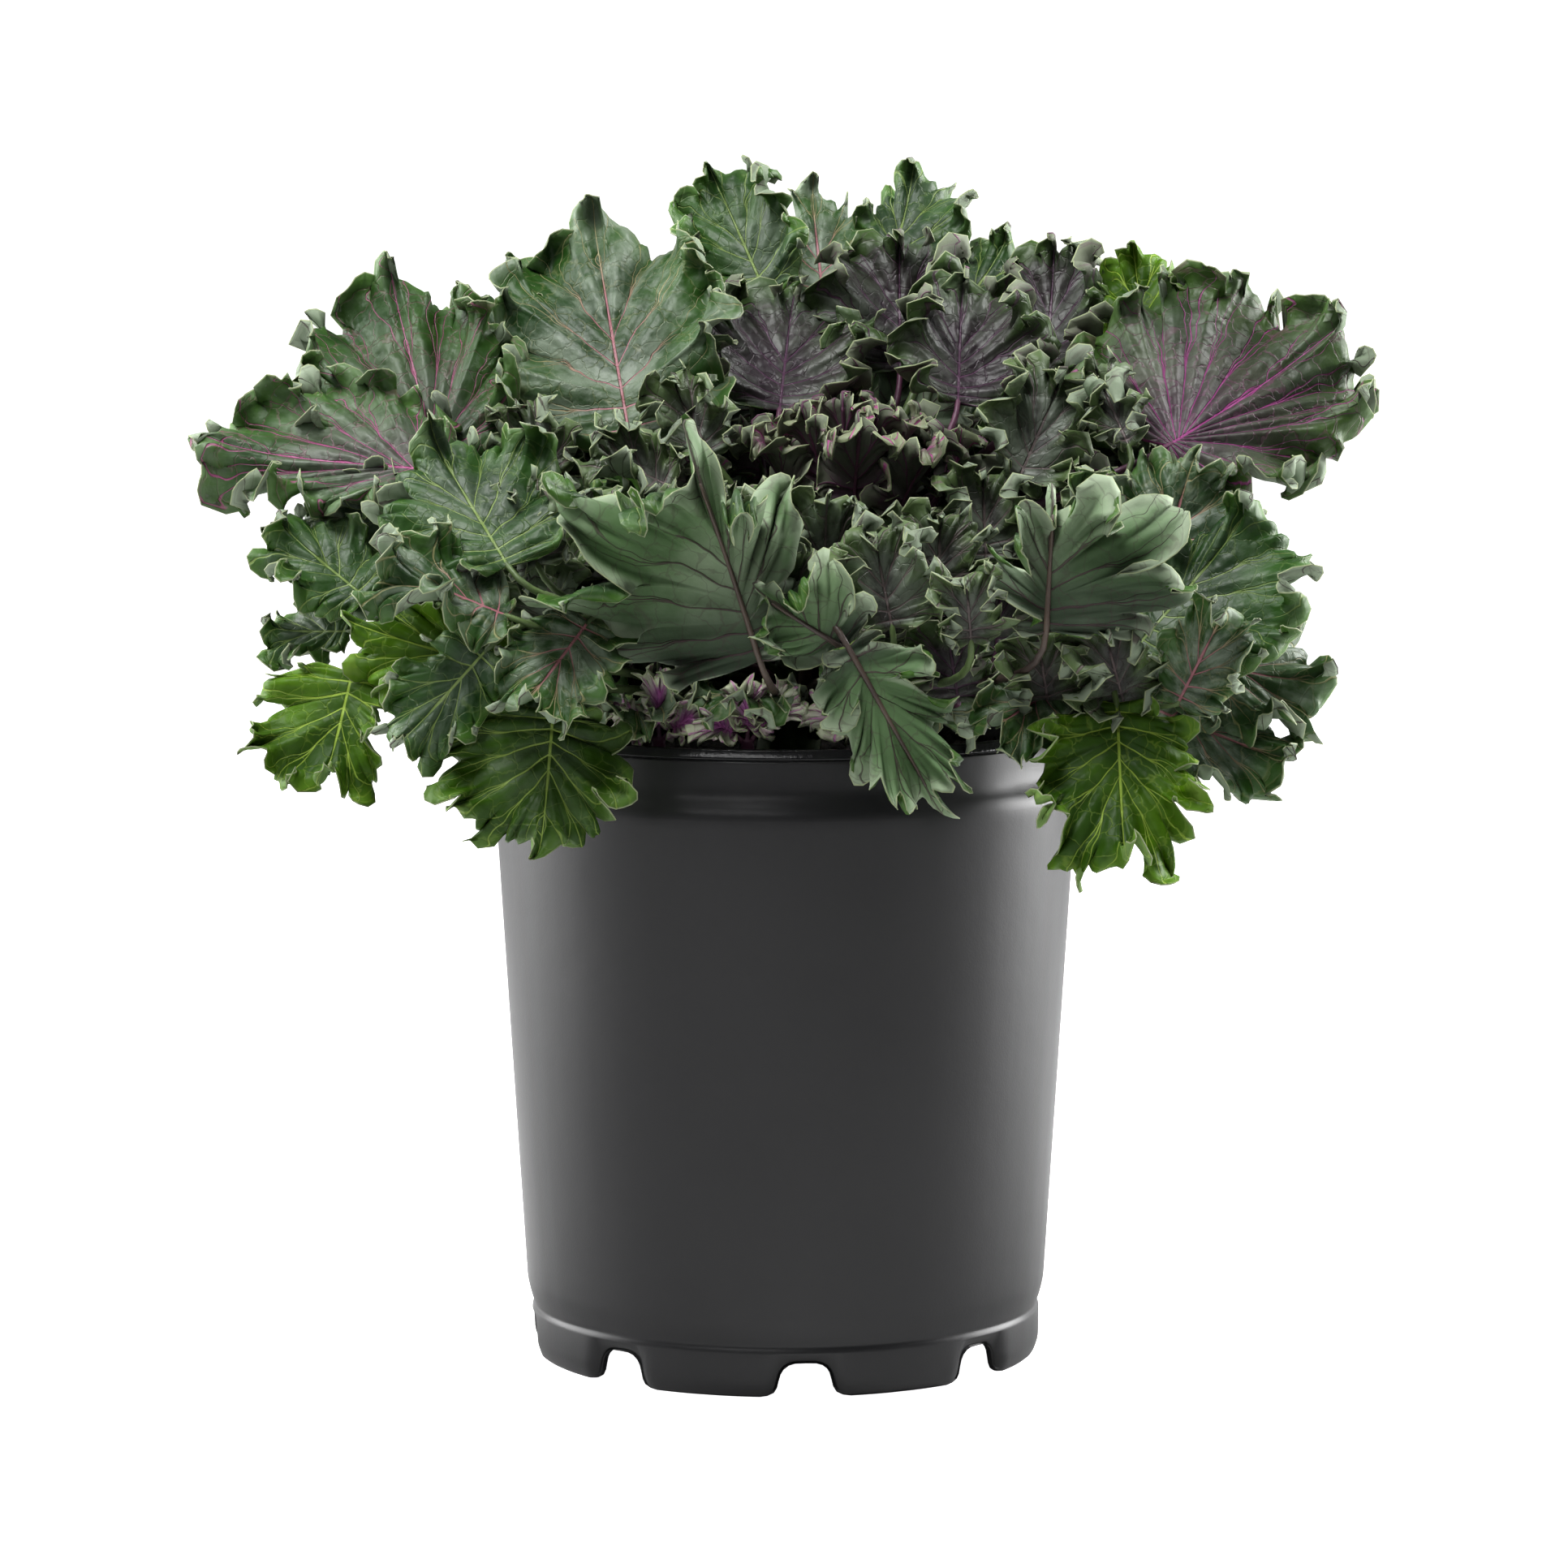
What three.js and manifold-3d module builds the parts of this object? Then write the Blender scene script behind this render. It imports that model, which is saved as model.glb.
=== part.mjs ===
// Ornamental kale in a black nursery pot. Millimetres, +Z up, the front of the plant faces -Y.
// The origin is on the pot's axis, on the surface that the pot stands on.
import * as THREE from "three";
import { mergeVertices } from "three/addons/utils/BufferGeometryUtils.js";
import Module from "manifold-3d";

const wasm = await Module();
wasm.setup();

// ---------------------------------------------------------------- pot sizes
const POT_HEIGHT = 207.5;
const WALL = 2;
const LIP_RADIUS = 92.3;
const LIP_HEIGHT = 3.5;
const COLLAR_RADIUS = 92.8;
const COVE_TOP = 193;
const SHOULDER_RADIUS = 95.5;
const SHOULDER_HEIGHT = 188;
const BODY_BOTTOM_RADIUS = 85.2;
const BODY_BOTTOM = 24;
const GROOVE_RADIUS = 83;
const GROOVE_HEIGHT = 16.5;
const FOOT_RADIUS = 83.7;
const FOOT_INNER_RADIUS = 79;
const FLOOR_UNDERSIDE = 13;
const FLOOR_TOP = 15.2;
const POT_SIDES = 40;

const NOTCH_COUNT = 8;
const FRONT_NOTCH_DEG = 4.5;
const NOTCH_HEIGHT = 11;
const NOTCH_HALF_WIDTHS = [13, 9.6, 8.6, 5];
const DRAIN_RADIUS = 5;
const DRAIN_CIRCLE = 66;
const DRAIN_SIDES = 10;

// ---------------------------------------------------------------- soil, stem and side shoots
const GAP = 0.3;
const SOIL_TOP = 194;
const SOIL_MOUND = 2.5;
const SOIL_SIDES = 20; // half the pot's, so that the corners line up
const HOLE_SIDES = 16;
const HOLE_HEIGHT = 60;
const STEM_FOOT = 150;
const STEM_TOP = 262;
const STEM_FOOT_RADIUS = 11;
const STEM_TOP_RADIUS = 8;
const STEM_LEAN = 12;
const SHOOT_FOOT = 178;
const SHOOT_TOP = 210;
const SHOOT_RADIUS = 3;

// ---------------------------------------------------------------- leaves
const BLADE_THICKNESS = 1.1;
const RIB_DEPTH = 1.4;
const STALK_RADIUS = 2.3;
const STALK_LEVEL = 228; // stalks that rise from here are the middle ones on the stem
const SPREAD = 0.92; // the outline goes this share of a half turn from the tip towards the stalk
const FULLNESS = 0.8; // below 1, the outline is fuller than an ellipse
const CENTRE = 0.42; // the widest place, as a share of the length
const RIB_SHARE = 0.55; // the side veins leave the midrib along this share of the length
const LOBE_DEPTH = 0.07;

// A fixed draw between 0 and 1, so that every run grows the same plant.
function draw(seed, index) {
  const value = Math.sin(seed * 12.9898 + index * 78.233) * 43758.5453;
  return value - Math.floor(value);
}

// One leaf.
// hub: where the stalk meets the blade. tip: the end of the midrib. face: where the upper side looks.
// width: reach to the left and the right of the midrib, seen on the upper side with the tip ahead.
// ruffle: height of the waves of the edge. lobes: lobes on each side.
// back: how far the ears reach behind the hub.
// bend: degrees that the midrib curls towards the upper side. cup: degrees that the sides rise.
function leaf(hub, tip, face, width, ruffle, lobes, extra = {}) {
  return { hub, tip, face, width, ruffle, lobes, back: 2, bend: 0.01, cup: 0.01, ...extra };
}

const headLeaves = [
  // tall leaves at the back, left to right
  leaf([-50, -18, 300], [-63, 45, 366], [-0.1, -0.85, 0.5], [36, 34], 7, 4, { bend: -20 }),
  leaf([-74, 6, 312], [-106, 40, 344], [-0.2, -0.8, 0.6], [12, 18], 4, 3, { bend: -10 }),
  leaf([-6, 50, 345], [-24, 78, 385], [-0.3, -0.9, 0.3], [18, 20], 4, 3, { cup: 40 }),
  leaf([13, 60, 341], [9, 95, 378], [0, -0.9, 0.3], [18, 20], 4, 3),
  leaf([34, 58, 349], [44, 92, 385], [-0.2, -0.9, 0.3], [13, 22], 4, 3),
  leaf([55, 44, 336], [75, 72, 362], [-0.3, -0.9, 0.3], [14, 13], 4, 3),
  leaf([86, 25, 322], [90, 52, 360], [-0.2, -0.95, 0.2], [17, 18], 4, 3),
  leaf([118, 22, 330], [116, 44, 360], [-0.2, -0.9, 0.3], [13, 14], 4, 3),
  // round fans at the far left and right
  leaf([-113, -40, 292], [-184, -22, 296], [0, -0.7, 0.7], [16, 32], 7, 4, { back: 6 }),
  leaf([-111, -30, 292], [-129, 25, 346], [0, -0.85, 0.5], [36, 28], 7, 4, { back: 4 }),
  leaf([123, -25, 299], [178, 12, 330], [-0.35, -0.85, 0.35], [50, 32], 7, 5, { back: 12 }),
  // dark cups round the heart
  leaf([38, 38, 321], [38, 60, 363], [0, -1, 0.2], [26, 24], 4, 4),
  leaf([-2, 8, 309], [2, 45, 343], [0.1, -0.9, 0.4], [30, 28], 4, 4, { cup: 40 }),
  leaf([56, -2, 312], [58, 28, 348], [0.1, -0.95, 0.3], [19, 26], 4, 4, { back: 2 }),
  // right side
  leaf([117, -50, 256], [130, -42, 295], [0, -0.8, 0.6], [20, 24], 5, 3),
  leaf([110, -75, 238], [149, -62, 281], [-0.3, -0.8, 0.55], [15, 36], 6, 4),
  leaf([121, -60, 234], [172, -55, 223], [0, -0.7, 0.7], [26, 24], 7, 4),
  leaf([103, -92, 222], [104, -118, 172], [0.1, -0.95, 0.1], [22, 25], 4, 4),
  leaf([114, -70, 219], [159, -76, 201], [0.1, -0.8, 0.5], [14, 18], 5, 3),
  leaf([80, -112, 246], [82, -118, 288], [0, 0.9, 0.3], [38, 14], 5, 3, { bend: -20 }),
  // front
  leaf([-8, -100, 236], [-29, -128, 300], [0, 0.9, 0.3], [18, 50], 6, 4, { bend: -30 }),
  leaf([19, -118, 242], [47, -118, 192], [0, 0.9, -0.1], [14, 16], 4, 3),
  leaf([18, -112, 241], [-8, -125, 258], [0, 0.9, 0.2], [18, 14], 4, 3),
  leaf([84, -84, 226], [62, -108, 214], [0, -0.7, 0.7], [14, 13], 4, 3),
  // left side
  leaf([-86, -95, 265], [-112, -55, 302], [0, -0.7, 0.7], [24, 30], 5, 4),
  leaf([-133, -62, 253], [-162, -48, 275], [-0.1, -0.6, 0.8], [14, 18], 5, 3),
  leaf([-86, -102, 250], [-129, -105, 268], [-0.1, -0.5, 0.85], [12, 18], 4, 3),
  leaf([-83, -90, 231], [-134, -82, 245], [0, -0.9, 0.3], [18, 14], 4, 3),
  leaf([-136, -75, 230], [-144, -88, 194], [-0.2, -0.9, 0.2], [14, 26], 5, 3),
  leaf([-92, -105, 240], [-120, -108, 209], [-0.2, -0.9, 0.2], [12, 15], 4, 3),
  leaf([-72, -100, 220], [-75, -112, 180], [0, -0.95, 0.2], [22, 32], 4, 4),
  leaf([-61, -100, 248], [-81, -122, 222], [-0.1, -0.9, 0.4], [16, 16], 4, 3),
  leaf([-139, -50, 241], [-166, -40, 240], [0, -0.7, 0.7], [11, 11], 4, 3),
  leaf([-115, -40, 282], [-164, -30, 268], [0, -0.8, 0.6], [12, 12], 4, 3),
  // frilled leaves between the tiers
  leaf([-37, -45, 287], [-62, -50, 299], [0, -0.6, 0.8], [12, 13], 4, 3),
  leaf([-43, -80, 264], [-60, -88, 280], [-0.3, -0.8, 0.5], [11, 11], 3, 3),
  leaf([74, -25, 286], [90, -10, 321], [0, -0.9, 0.3], [16, 14], 4, 3),
  leaf([110, -30, 299], [99, -12, 325], [0, -0.9, 0.3], [8, 8], 2, 3),
  leaf([-24, -22, 296], [-38, -16, 320], [0.1, -0.8, 0.6], [12, 11], 4, 3),
  leaf([-74, -26, 290], [-88, -18, 311], [0, -0.8, 0.6], [10, 11], 4, 3),
  leaf([33, -95, 246], [27, -92, 276], [0, -0.9, 0.3], [14, 16], 4, 3),
  leaf([57, -112, 243], [55, -118, 264], [0, -0.9, 0.3], [11, 11], 3, 3),
  leaf([106, -85, 220], [97, -105, 250], [0, -0.9, 0.3], [14, 12], 4, 3),
  leaf([122, -92, 222], [136, -104, 253], [0, -0.9, 0.3], [12, 14], 4, 3),
  leaf([4, -84, 247], [0, -90, 267], [0, -0.8, 0.6], [11, 11], 3, 3),
  leaf([82, -88, 220], [78, -100, 244], [0, -0.9, 0.3], [13, 12], 3, 3),
  leaf([48, -60, 254], [49, -58, 279], [0, -0.9, 0.3], [14, 13], 3, 3),
  leaf([-78, -70, 264], [-86, -72, 288], [0, -0.9, 0.4], [12, 14], 4, 3),
  leaf([64, -40, 263], [63, -34, 291], [0, -0.9, 0.3], [15, 14], 4, 3),
  // behind the side leaves
  leaf([112, -10, 244], [150, -8, 268], [0.3, -0.5, 0.8], [19, 19], 5, 3),
  leaf([-100, -22, 240], [-138, -28, 262], [-0.3, -0.5, 0.8], [19, 19], 5, 3),
];

// The back of the plant, out of a high, a middle and a low ring. Angles are counted from +X towards +Y.
// lean: how far the upper sides look away from the stem.
const backRings = [
  {
    angles: [22, 58, 92, 126, 158],
    hubOut: 84,
    hubUp: 284,
    tipOut: 128,
    tipUp: 326,
    lean: -0.3,
    width: 27,
    lobes: 3,
  },
  {
    angles: [14, 38, 64, 96, 130, 164],
    hubOut: 101,
    hubUp: 254,
    tipOut: 133,
    tipUp: 282,
    lean: -0.3,
    width: 22,
    lobes: 3,
  },
  {
    angles: [8, 40, 72, 106, 140, 172],
    hubOut: 94,
    hubUp: 258,
    tipOut: 130,
    tipUp: 210,
    lean: 0.8,
    width: 24,
    lobes: 3,
  },
];

for (const ring of backRings) {
  ring.angles.forEach((degrees, number) => {
    const angle = THREE.MathUtils.degToRad(degrees);
    const out = [Math.cos(angle), Math.sin(angle)];
    const sway = 8 * (draw(number, ring.hubUp) - 0.5);
    const hub = [out[0] * ring.hubOut, out[1] * ring.hubOut, ring.hubUp + sway];
    const tip = [out[0] * ring.tipOut, out[1] * ring.tipOut, ring.tipUp + sway];
    const face = [out[0] * ring.lean, out[1] * ring.lean, 0.85];
    headLeaves.push(leaf(hub, tip, face, [ring.width, ring.width], 6, ring.lobes, { bend: -25 }));
  });
}

// The young heart: leaves at the golden angle round the tip of the stem, the outer ones longer and lower.
const GOLDEN_ANGLE = 137.5;
const HEART_LEAVES = 13;
const HEART_START_DEG = 258;
const HEART_BASE = [STEM_LEAN, -6, STEM_TOP];
const HEART_TOP = [20, -12, 288];
const heartLeaves = [];
for (let k = 0; k < HEART_LEAVES; k++) {
  const angle = THREE.MathUtils.degToRad(HEART_START_DEG + GOLDEN_ANGLE * k);
  const out = [Math.cos(angle), Math.sin(angle)];
  const hubOut = 5 + 1.2 * k;
  const tipOut = 9 + 2.5 * k;
  const hubUp = HEART_TOP[2] + 4 - 1.4 * k;
  const tipUp = HEART_TOP[2] + 26 - 1.1 * k;
  const width = 7 + 0.6 * k;
  const hub = [HEART_TOP[0] + out[0] * hubOut, HEART_TOP[1] + out[1] * hubOut, hubUp];
  const tip = [HEART_TOP[0] + out[0] * tipOut, HEART_TOP[1] + out[1] * tipOut, tipUp];
  heartLeaves.push(leaf(hub, tip, [-out[0], -out[1], 0.5], [width, width], 2.4, 3, { bend: -30, cup: 30 }));
}

// Small frilled shoots that grow from the soil just inside the front of the rim.
const sideShoots = [
  { name: "side_shoot_left", x: -40, y: -68, leaves: [25, 88, 155] },
  { name: "side_shoot_middle", x: -12, y: -76, leaves: [40, 90, 160] },
  { name: "side_shoot_right", x: 25, y: -74, leaves: [15, 75, 150] },
];

// ---------------------------------------------------------------- one blade
// The midrib is an arc over the straight line from hub to tip.
function bladeFrame(one) {
  const hub = new THREE.Vector3(...one.hub);
  const chord = new THREE.Vector3(...one.tip).sub(hub);
  const bend = THREE.MathUtils.degToRad(one.bend);
  const along = chord.clone().normalize();
  const face = new THREE.Vector3(...one.face);
  face.addScaledVector(along, -face.dot(along)).normalize();
  const left = new THREE.Vector3().crossVectors(face, along);
  const half = bend / 2;
  return {
    hub,
    left,
    bend,
    length: (chord.length() * half) / Math.sin(half),
    along: along.clone().multiplyScalar(Math.cos(half)).addScaledVector(face, -Math.sin(half)),
    face: face.clone().multiplyScalar(Math.cos(half)).addScaledVector(along, Math.sin(half)),
  };
}

// A value that runs smoothly through one number for each lobe; position counts lobes from the tip.
function throughLobes(valueAt, position) {
  const before = Math.floor(position);
  const share = (1 - Math.cos(Math.PI * (position - before))) / 2;
  return valueAt(before) * (1 - share) + valueAt(before + 1) * share;
}

// A point of the blade's middle surface. turn: 0 at the tip to 1 beside the stalk.
// reach: 0 at the midrib to 1 at the edge. side: 1 left, -1 right.
function bladePoint(one, frame, side, turn, reach) {
  const theta = Math.PI * SPREAD * turn;
  const width = one.width[side > 0 ? 0 : 1];
  const middle = CENTRE * frame.length;
  const lengthways = Math.cos(theta) > 0 ? frame.length - middle : middle + one.back;
  const towardsTip = Math.sign(Math.cos(theta)) * Math.abs(Math.cos(theta)) ** FULLNESS;
  const root = RIB_SHARE * frame.length * (1 - turn) ** 1.3;
  const position = turn * one.lobes;
  const fade = 1 - turn ** 6;
  const lobe = 1 + LOBE_DEPTH * Math.cos(2 * Math.PI * position) * fade;
  const share = reach * (1 + (lobe - 1) * reach * reach);
  const x = root + (middle + lengthways * towardsTip - root) * share;
  const y = side * width * Math.sin(theta) ** FULLNESS * share;

  const rounds = (frame.bend * x) / frame.length;
  const arm = frame.length / frame.bend;
  const point = frame.hub
    .clone()
    .addScaledVector(frame.along, Math.sin(rounds) * arm)
    .addScaledVector(frame.face, (1 - Math.cos(rounds)) * arm);
  const normal = frame.face.clone().multiplyScalar(Math.cos(rounds));
  normal.addScaledVector(frame.along, -Math.sin(rounds));

  const cup = THREE.MathUtils.degToRad(one.cup) / width;
  const tilt = cup * y;
  point.addScaledVector(frame.left, Math.sin(tilt) / cup);
  point.addScaledVector(normal, (1 - Math.cos(tilt)) / cup);
  const outward = normal.clone().multiplyScalar(Math.cos(tilt));
  outward.addScaledVector(frame.left, -Math.sin(tilt));

  const waveAt = (lobeNumber) => {
    const sway = 0.6 + 0.8 * draw(one.seed, lobeNumber * side);
    return (lobeNumber % 2 === 0 ? 1 : -1) * sway;
  };
  const wave = throughLobes(waveAt, position) * fade;
  return point.addScaledVector(outward, one.ruffle * wave * reach * reach);
}

// The blade's grid: rays from the midrib to the edge at each lobe and notch, and rings between them.
function bladeSheet(one, frame, rings) {
  const rays = one.lobes * 2;
  const points = [];
  const rib = [];
  const grid = { 1: [], "-1": [] };
  const add = (point) => points.push(point) - 1;
  for (let i = 0; i <= rays; i++) {
    rib.push(add(bladePoint(one, frame, 1, i / rays, 0)));
  }
  for (const side of [1, -1]) {
    for (let i = 0; i <= rays; i++) {
      const shared = i === 0 && side === -1;
      const outer = (reach) => add(bladePoint(one, frame, side, i / rays, reach));
      grid[side].push(shared ? grid[1][0] : [rib[i], ...rings.map(outer)]);
    }
  }
  const triangles = [];
  for (const side of [1, -1]) {
    for (let i = 0; i < rays; i++) {
      for (let j = 0; j < rings.length; j++) {
        const [here, next] = [grid[side][i], grid[side][i + 1]];
        const corners = [here[j], here[j + 1], next[j + 1], next[j]];
        if (side < 0) corners.reverse();
        triangles.push([corners[0], corners[1], corners[2]], [corners[0], corners[2], corners[3]]);
      }
    }
  }
  const last = rings.length;
  const rim = [];
  for (let j = 0; j <= last; j++) rim.push(grid[-1][rays][j]);
  for (let i = rays - 1; i >= 0; i--) rim.push(grid[-1][i][last]);
  for (let i = 1; i <= rays; i++) rim.push(grid[1][i][last]);
  for (let j = last - 1; j > 0; j--) rim.push(grid[1][rays][j]);
  return { points, triangles, rim };
}

// A closed blade: the sheet moved half the thickness to each side, both faces split alike, and a wall
// round it. The sheet's first points are the midrib, from tip to hub, which stands out more and more below.
function bladeSolid(one, rings) {
  const ribEnd = one.lobes * 2;
  const frame = bladeFrame(one);
  const { points, triangles, rim } = bladeSheet(one, frame, rings);
  const normals = points.map(() => new THREE.Vector3());
  const edge1 = new THREE.Vector3();
  const edge2 = new THREE.Vector3();
  for (const [a, b, c] of triangles) {
    edge1.subVectors(points[b], points[a]);
    edge2.subVectors(points[c], points[a]);
    const normal = edge1.clone().cross(edge2).normalize();
    for (const corner of [a, b, c]) normals[corner].add(normal);
  }
  const positions = [];
  for (const below of [false, true]) {
    points.forEach((point, k) => {
      const ribShare = below && k <= ribEnd ? k / ribEnd : 0;
      const offset = below ? -BLADE_THICKNESS / 2 - RIB_DEPTH * ribShare : BLADE_THICKNESS / 2;
      positions.push(...point.clone().addScaledVector(normals[k].normalize(), offset).toArray());
    });
  }
  const count = points.length;
  const faces = [];
  for (const [a, b, c] of triangles) faces.push(a, b, c, a + count, c + count, b + count);
  rim.forEach((a, k) => {
    const b = rim[(k + 1) % rim.length];
    faces.push(b, a, a + count, b, a + count, b + count);
  });
  return solid(positions, faces);
}

// ---------------------------------------------------------------- solids
function solid(positions, faces) {
  const mesh = new wasm.Mesh({
    numProp: 3,
    vertProperties: Float32Array.from(positions),
    triVerts: Uint32Array.from(faces),
  });
  return new wasm.Manifold(mesh);
}

function fromGeometry(geometry) {
  const bare = geometry.clone();
  for (const name of ["normal", "uv"]) bare.deleteAttribute(name);
  const merged = mergeVertices(bare, 1e-4);
  const index = merged.index.array;
  const faces = [];
  for (let k = 0; k < index.length; k += 3) {
    const [a, b, c] = [index[k], index[k + 1], index[k + 2]];
    if (a !== b && b !== c && c !== a) faces.push(a, b, c);
  }
  return solid(merged.attributes.position.array, faces);
}

function toGeometry(manifold) {
  const mesh = manifold.getMesh();
  const geometry = new THREE.BufferGeometry();
  geometry.setAttribute("position", new THREE.BufferAttribute(Float32Array.from(mesh.vertProperties), 3));
  geometry.setIndex(Array.from(mesh.triVerts));
  geometry.computeVertexNormals();
  return geometry;
}

// A round bar along a curve whose radius runs evenly from first to last.
function bar(curve, pieces, sides, firstRadius, lastRadius) {
  const frames = curve.computeFrenetFrames(pieces, false);
  const positions = [];
  const faces = [];
  for (let i = 0; i <= pieces; i++) {
    const centre = curve.getPointAt(i / pieces);
    const radius = THREE.MathUtils.lerp(firstRadius, lastRadius, i / pieces);
    for (let k = 0; k < sides; k++) {
      const angle = (2 * Math.PI * k) / sides;
      const point = centre
        .clone()
        .addScaledVector(frames.normals[i], radius * Math.cos(angle))
        .addScaledVector(frames.binormals[i], radius * Math.sin(angle));
      positions.push(...point.toArray());
    }
  }
  for (let i = 0; i < pieces; i++) {
    for (let k = 0; k < sides; k++) {
      const a = i * sides + k;
      const b = i * sides + ((k + 1) % sides);
      faces.push(a, b, b + sides, a, b + sides, a + sides);
    }
  }
  for (let k = 1; k < sides - 1; k++) {
    faces.push(0, k + 1, k);
    const end = pieces * sides;
    faces.push(end, end + k, end + k + 1);
  }
  return solid(positions, faces);
}

function turned(profile, sides) {
  const points = profile.map(([radius, height]) => new THREE.Vector2(radius, height));
  return fromGeometry(new THREE.LatheGeometry(points, sides).rotateX(Math.PI / 2));
}

// ---------------------------------------------------------------- pot
function notchCutter() {
  const [bottom, low, high, top] = NOTCH_HALF_WIDTHS;
  const heights = [-1, 2.6, 7.5, NOTCH_HEIGHT];
  const shape = new THREE.Shape();
  shape.moveTo(-bottom, heights[0]);
  shape.lineTo(bottom, heights[0]);
  shape.lineTo(low, heights[1]);
  shape.lineTo(high, heights[2]);
  shape.lineTo(top, heights[3]);
  shape.lineTo(-top, heights[3]);
  shape.lineTo(-high, heights[2]);
  shape.lineTo(-low, heights[1]);
  shape.closePath();
  const depth = FOOT_RADIUS - FOOT_INNER_RADIUS + 12;
  const geometry = new THREE.ExtrudeGeometry(shape, { depth, bevelEnabled: false });
  return fromGeometry(geometry.rotateX(Math.PI / 2).translate(0, -FOOT_INNER_RADIUS + 8, 0));
}

function pot() {
  const lipBottom = POT_HEIGHT - LIP_HEIGHT;
  const profile = [
    [0, FLOOR_UNDERSIDE],
    [FOOT_INNER_RADIUS - 1, FLOOR_UNDERSIDE],
    [FOOT_INNER_RADIUS, 0],
    [FOOT_RADIUS - 1.9, 0],
    [FOOT_RADIUS - 0.5, 1.6],
    [FOOT_RADIUS, 4.5],
    [FOOT_RADIUS, GROOVE_HEIGHT - 2.2],
    [GROOVE_RADIUS, GROOVE_HEIGHT],
    [BODY_BOTTOM_RADIUS - 0.4, BODY_BOTTOM - 2.5],
    [BODY_BOTTOM_RADIUS, BODY_BOTTOM],
    [SHOULDER_RADIUS, SHOULDER_HEIGHT],
    [SHOULDER_RADIUS - 1.4, SHOULDER_HEIGHT + 0.9],
    [COLLAR_RADIUS + 0.4, SHOULDER_HEIGHT + 2.6],
    [COLLAR_RADIUS, COVE_TOP],
    [COLLAR_RADIUS, lipBottom - 1],
    [LIP_RADIUS - 0.4, lipBottom],
    [LIP_RADIUS, lipBottom + 0.4],
    [LIP_RADIUS, POT_HEIGHT - 0.5],
    [LIP_RADIUS - 0.5, POT_HEIGHT],
    [LIP_RADIUS - WALL, POT_HEIGHT],
    [COLLAR_RADIUS - WALL, COVE_TOP - 1],
    [SHOULDER_RADIUS - WALL - 0.2, SHOULDER_HEIGHT - 3],
    [BODY_BOTTOM_RADIUS - WALL, BODY_BOTTOM + 1],
    [GROOVE_RADIUS - WALL, GROOVE_HEIGHT + 1],
    [GROOVE_RADIUS - WALL - 2, FLOOR_TOP],
    [0, FLOOR_TOP],
  ];
  let body = turned(profile, POT_SIDES);
  for (let k = 0; k < NOTCH_COUNT; k++) {
    const angle = FRONT_NOTCH_DEG + (360 / NOTCH_COUNT) * k;
    const drain = turned([[0, -5], [DRAIN_RADIUS, -5], [DRAIN_RADIUS, 5], [0, 5]], DRAIN_SIDES);
    const cutters = [notchCutter(), drain.translate([0, -DRAIN_CIRCLE, FLOOR_TOP])];
    for (const cutter of cutters) body = body.subtract(cutter.rotate([0, 0, angle]));
  }
  return body;
}

// ---------------------------------------------------------------- soil
function soil(stems) {
  const profile = [
    [0, FLOOR_TOP + GAP],
    [GROOVE_RADIUS - WALL - 2 - GAP, FLOOR_TOP + GAP],
    [GROOVE_RADIUS - WALL - GAP, GROOVE_HEIGHT + 1],
    [BODY_BOTTOM_RADIUS - WALL - GAP, BODY_BOTTOM + 1],
    [SHOULDER_RADIUS - WALL - 0.2 - GAP, SHOULDER_HEIGHT - 3],
    [COLLAR_RADIUS - WALL - GAP, COVE_TOP - 1],
    [COLLAR_RADIUS - WALL - GAP - 0.1, SOIL_TOP - 1],
    [COLLAR_RADIUS - WALL - 6, SOIL_TOP],
    [60, SOIL_TOP + SOIL_MOUND * 0.4],
    [30, SOIL_TOP + SOIL_MOUND],
    [0, SOIL_TOP + SOIL_MOUND],
  ];
  let body = turned(profile, SOIL_SIDES);
  for (const { x, y, foot, radius } of stems) {
    const outline = [[0, 0], [radius + GAP, 0], [radius + GAP, HOLE_HEIGHT], [0, HOLE_HEIGHT]];
    const hole = turned(outline, HOLE_SIDES);
    body = body.subtract(hole.translate([x, y, foot - GAP]));
  }
  return body;
}

// ---------------------------------------------------------------- plant
// A stem from its foot in the soil to its top, whose line leans over above the soil.
function stemLine(foot, top) {
  const soilPoint = foot.clone().setZ(SOIL_TOP);
  const middle = soilPoint.clone().lerp(top, 0.5);
  return new THREE.CatmullRomCurve3([foot, soilPoint, middle, top]);
}

// The stalk leaves the stem at root, arches to the hub and is sunk into the base of the blade.
function stalk(one, root, radius, pieces) {
  const frame = bladeFrame(one);
  const span = frame.hub.distanceTo(root);
  const outward = frame.hub.clone().sub(root).setZ(0).normalize();
  const climb = Math.max(0.15 * span, frame.hub.z - root.z);
  const start = root.clone().addScaledVector(outward, span * 0.3).setZ(root.z + climb * 0.45 + span * 0.04);
  const end = frame.hub.clone().addScaledVector(frame.along, -span * 0.25);
  end.z = Math.max(end.z, Math.min(frame.hub.z, POT_HEIGHT + 9));
  const arch = new THREE.CubicBezierCurve3(root, start, end, frame.hub);
  const points = [];
  for (let i = 0; i < pieces; i++) points.push(arch.getPointAt(i / pieces));
  points.push(frame.hub.clone().addScaledVector(frame.along, 2.5).addScaledVector(frame.face, -0.6));
  return bar(new THREE.CatmullRomCurve3(points), pieces, 3, radius, radius * 0.4);
}

function ringsFor(width) {
  if (width > 72) return [0.45, 0.8, 1];
  return width > 48 ? [0.6, 1] : [1];
}

function leafParts(leaves, rootFor, radius, pieces, firstSeed) {
  return leaves.flatMap((one, number) => {
    one.seed = firstSeed + number;
    const rings = ringsFor(one.width[0] + one.width[1]);
    return [bladeSolid(one, rings), stalk(one, rootFor(one), radius, pieces)];
  });
}

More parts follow.
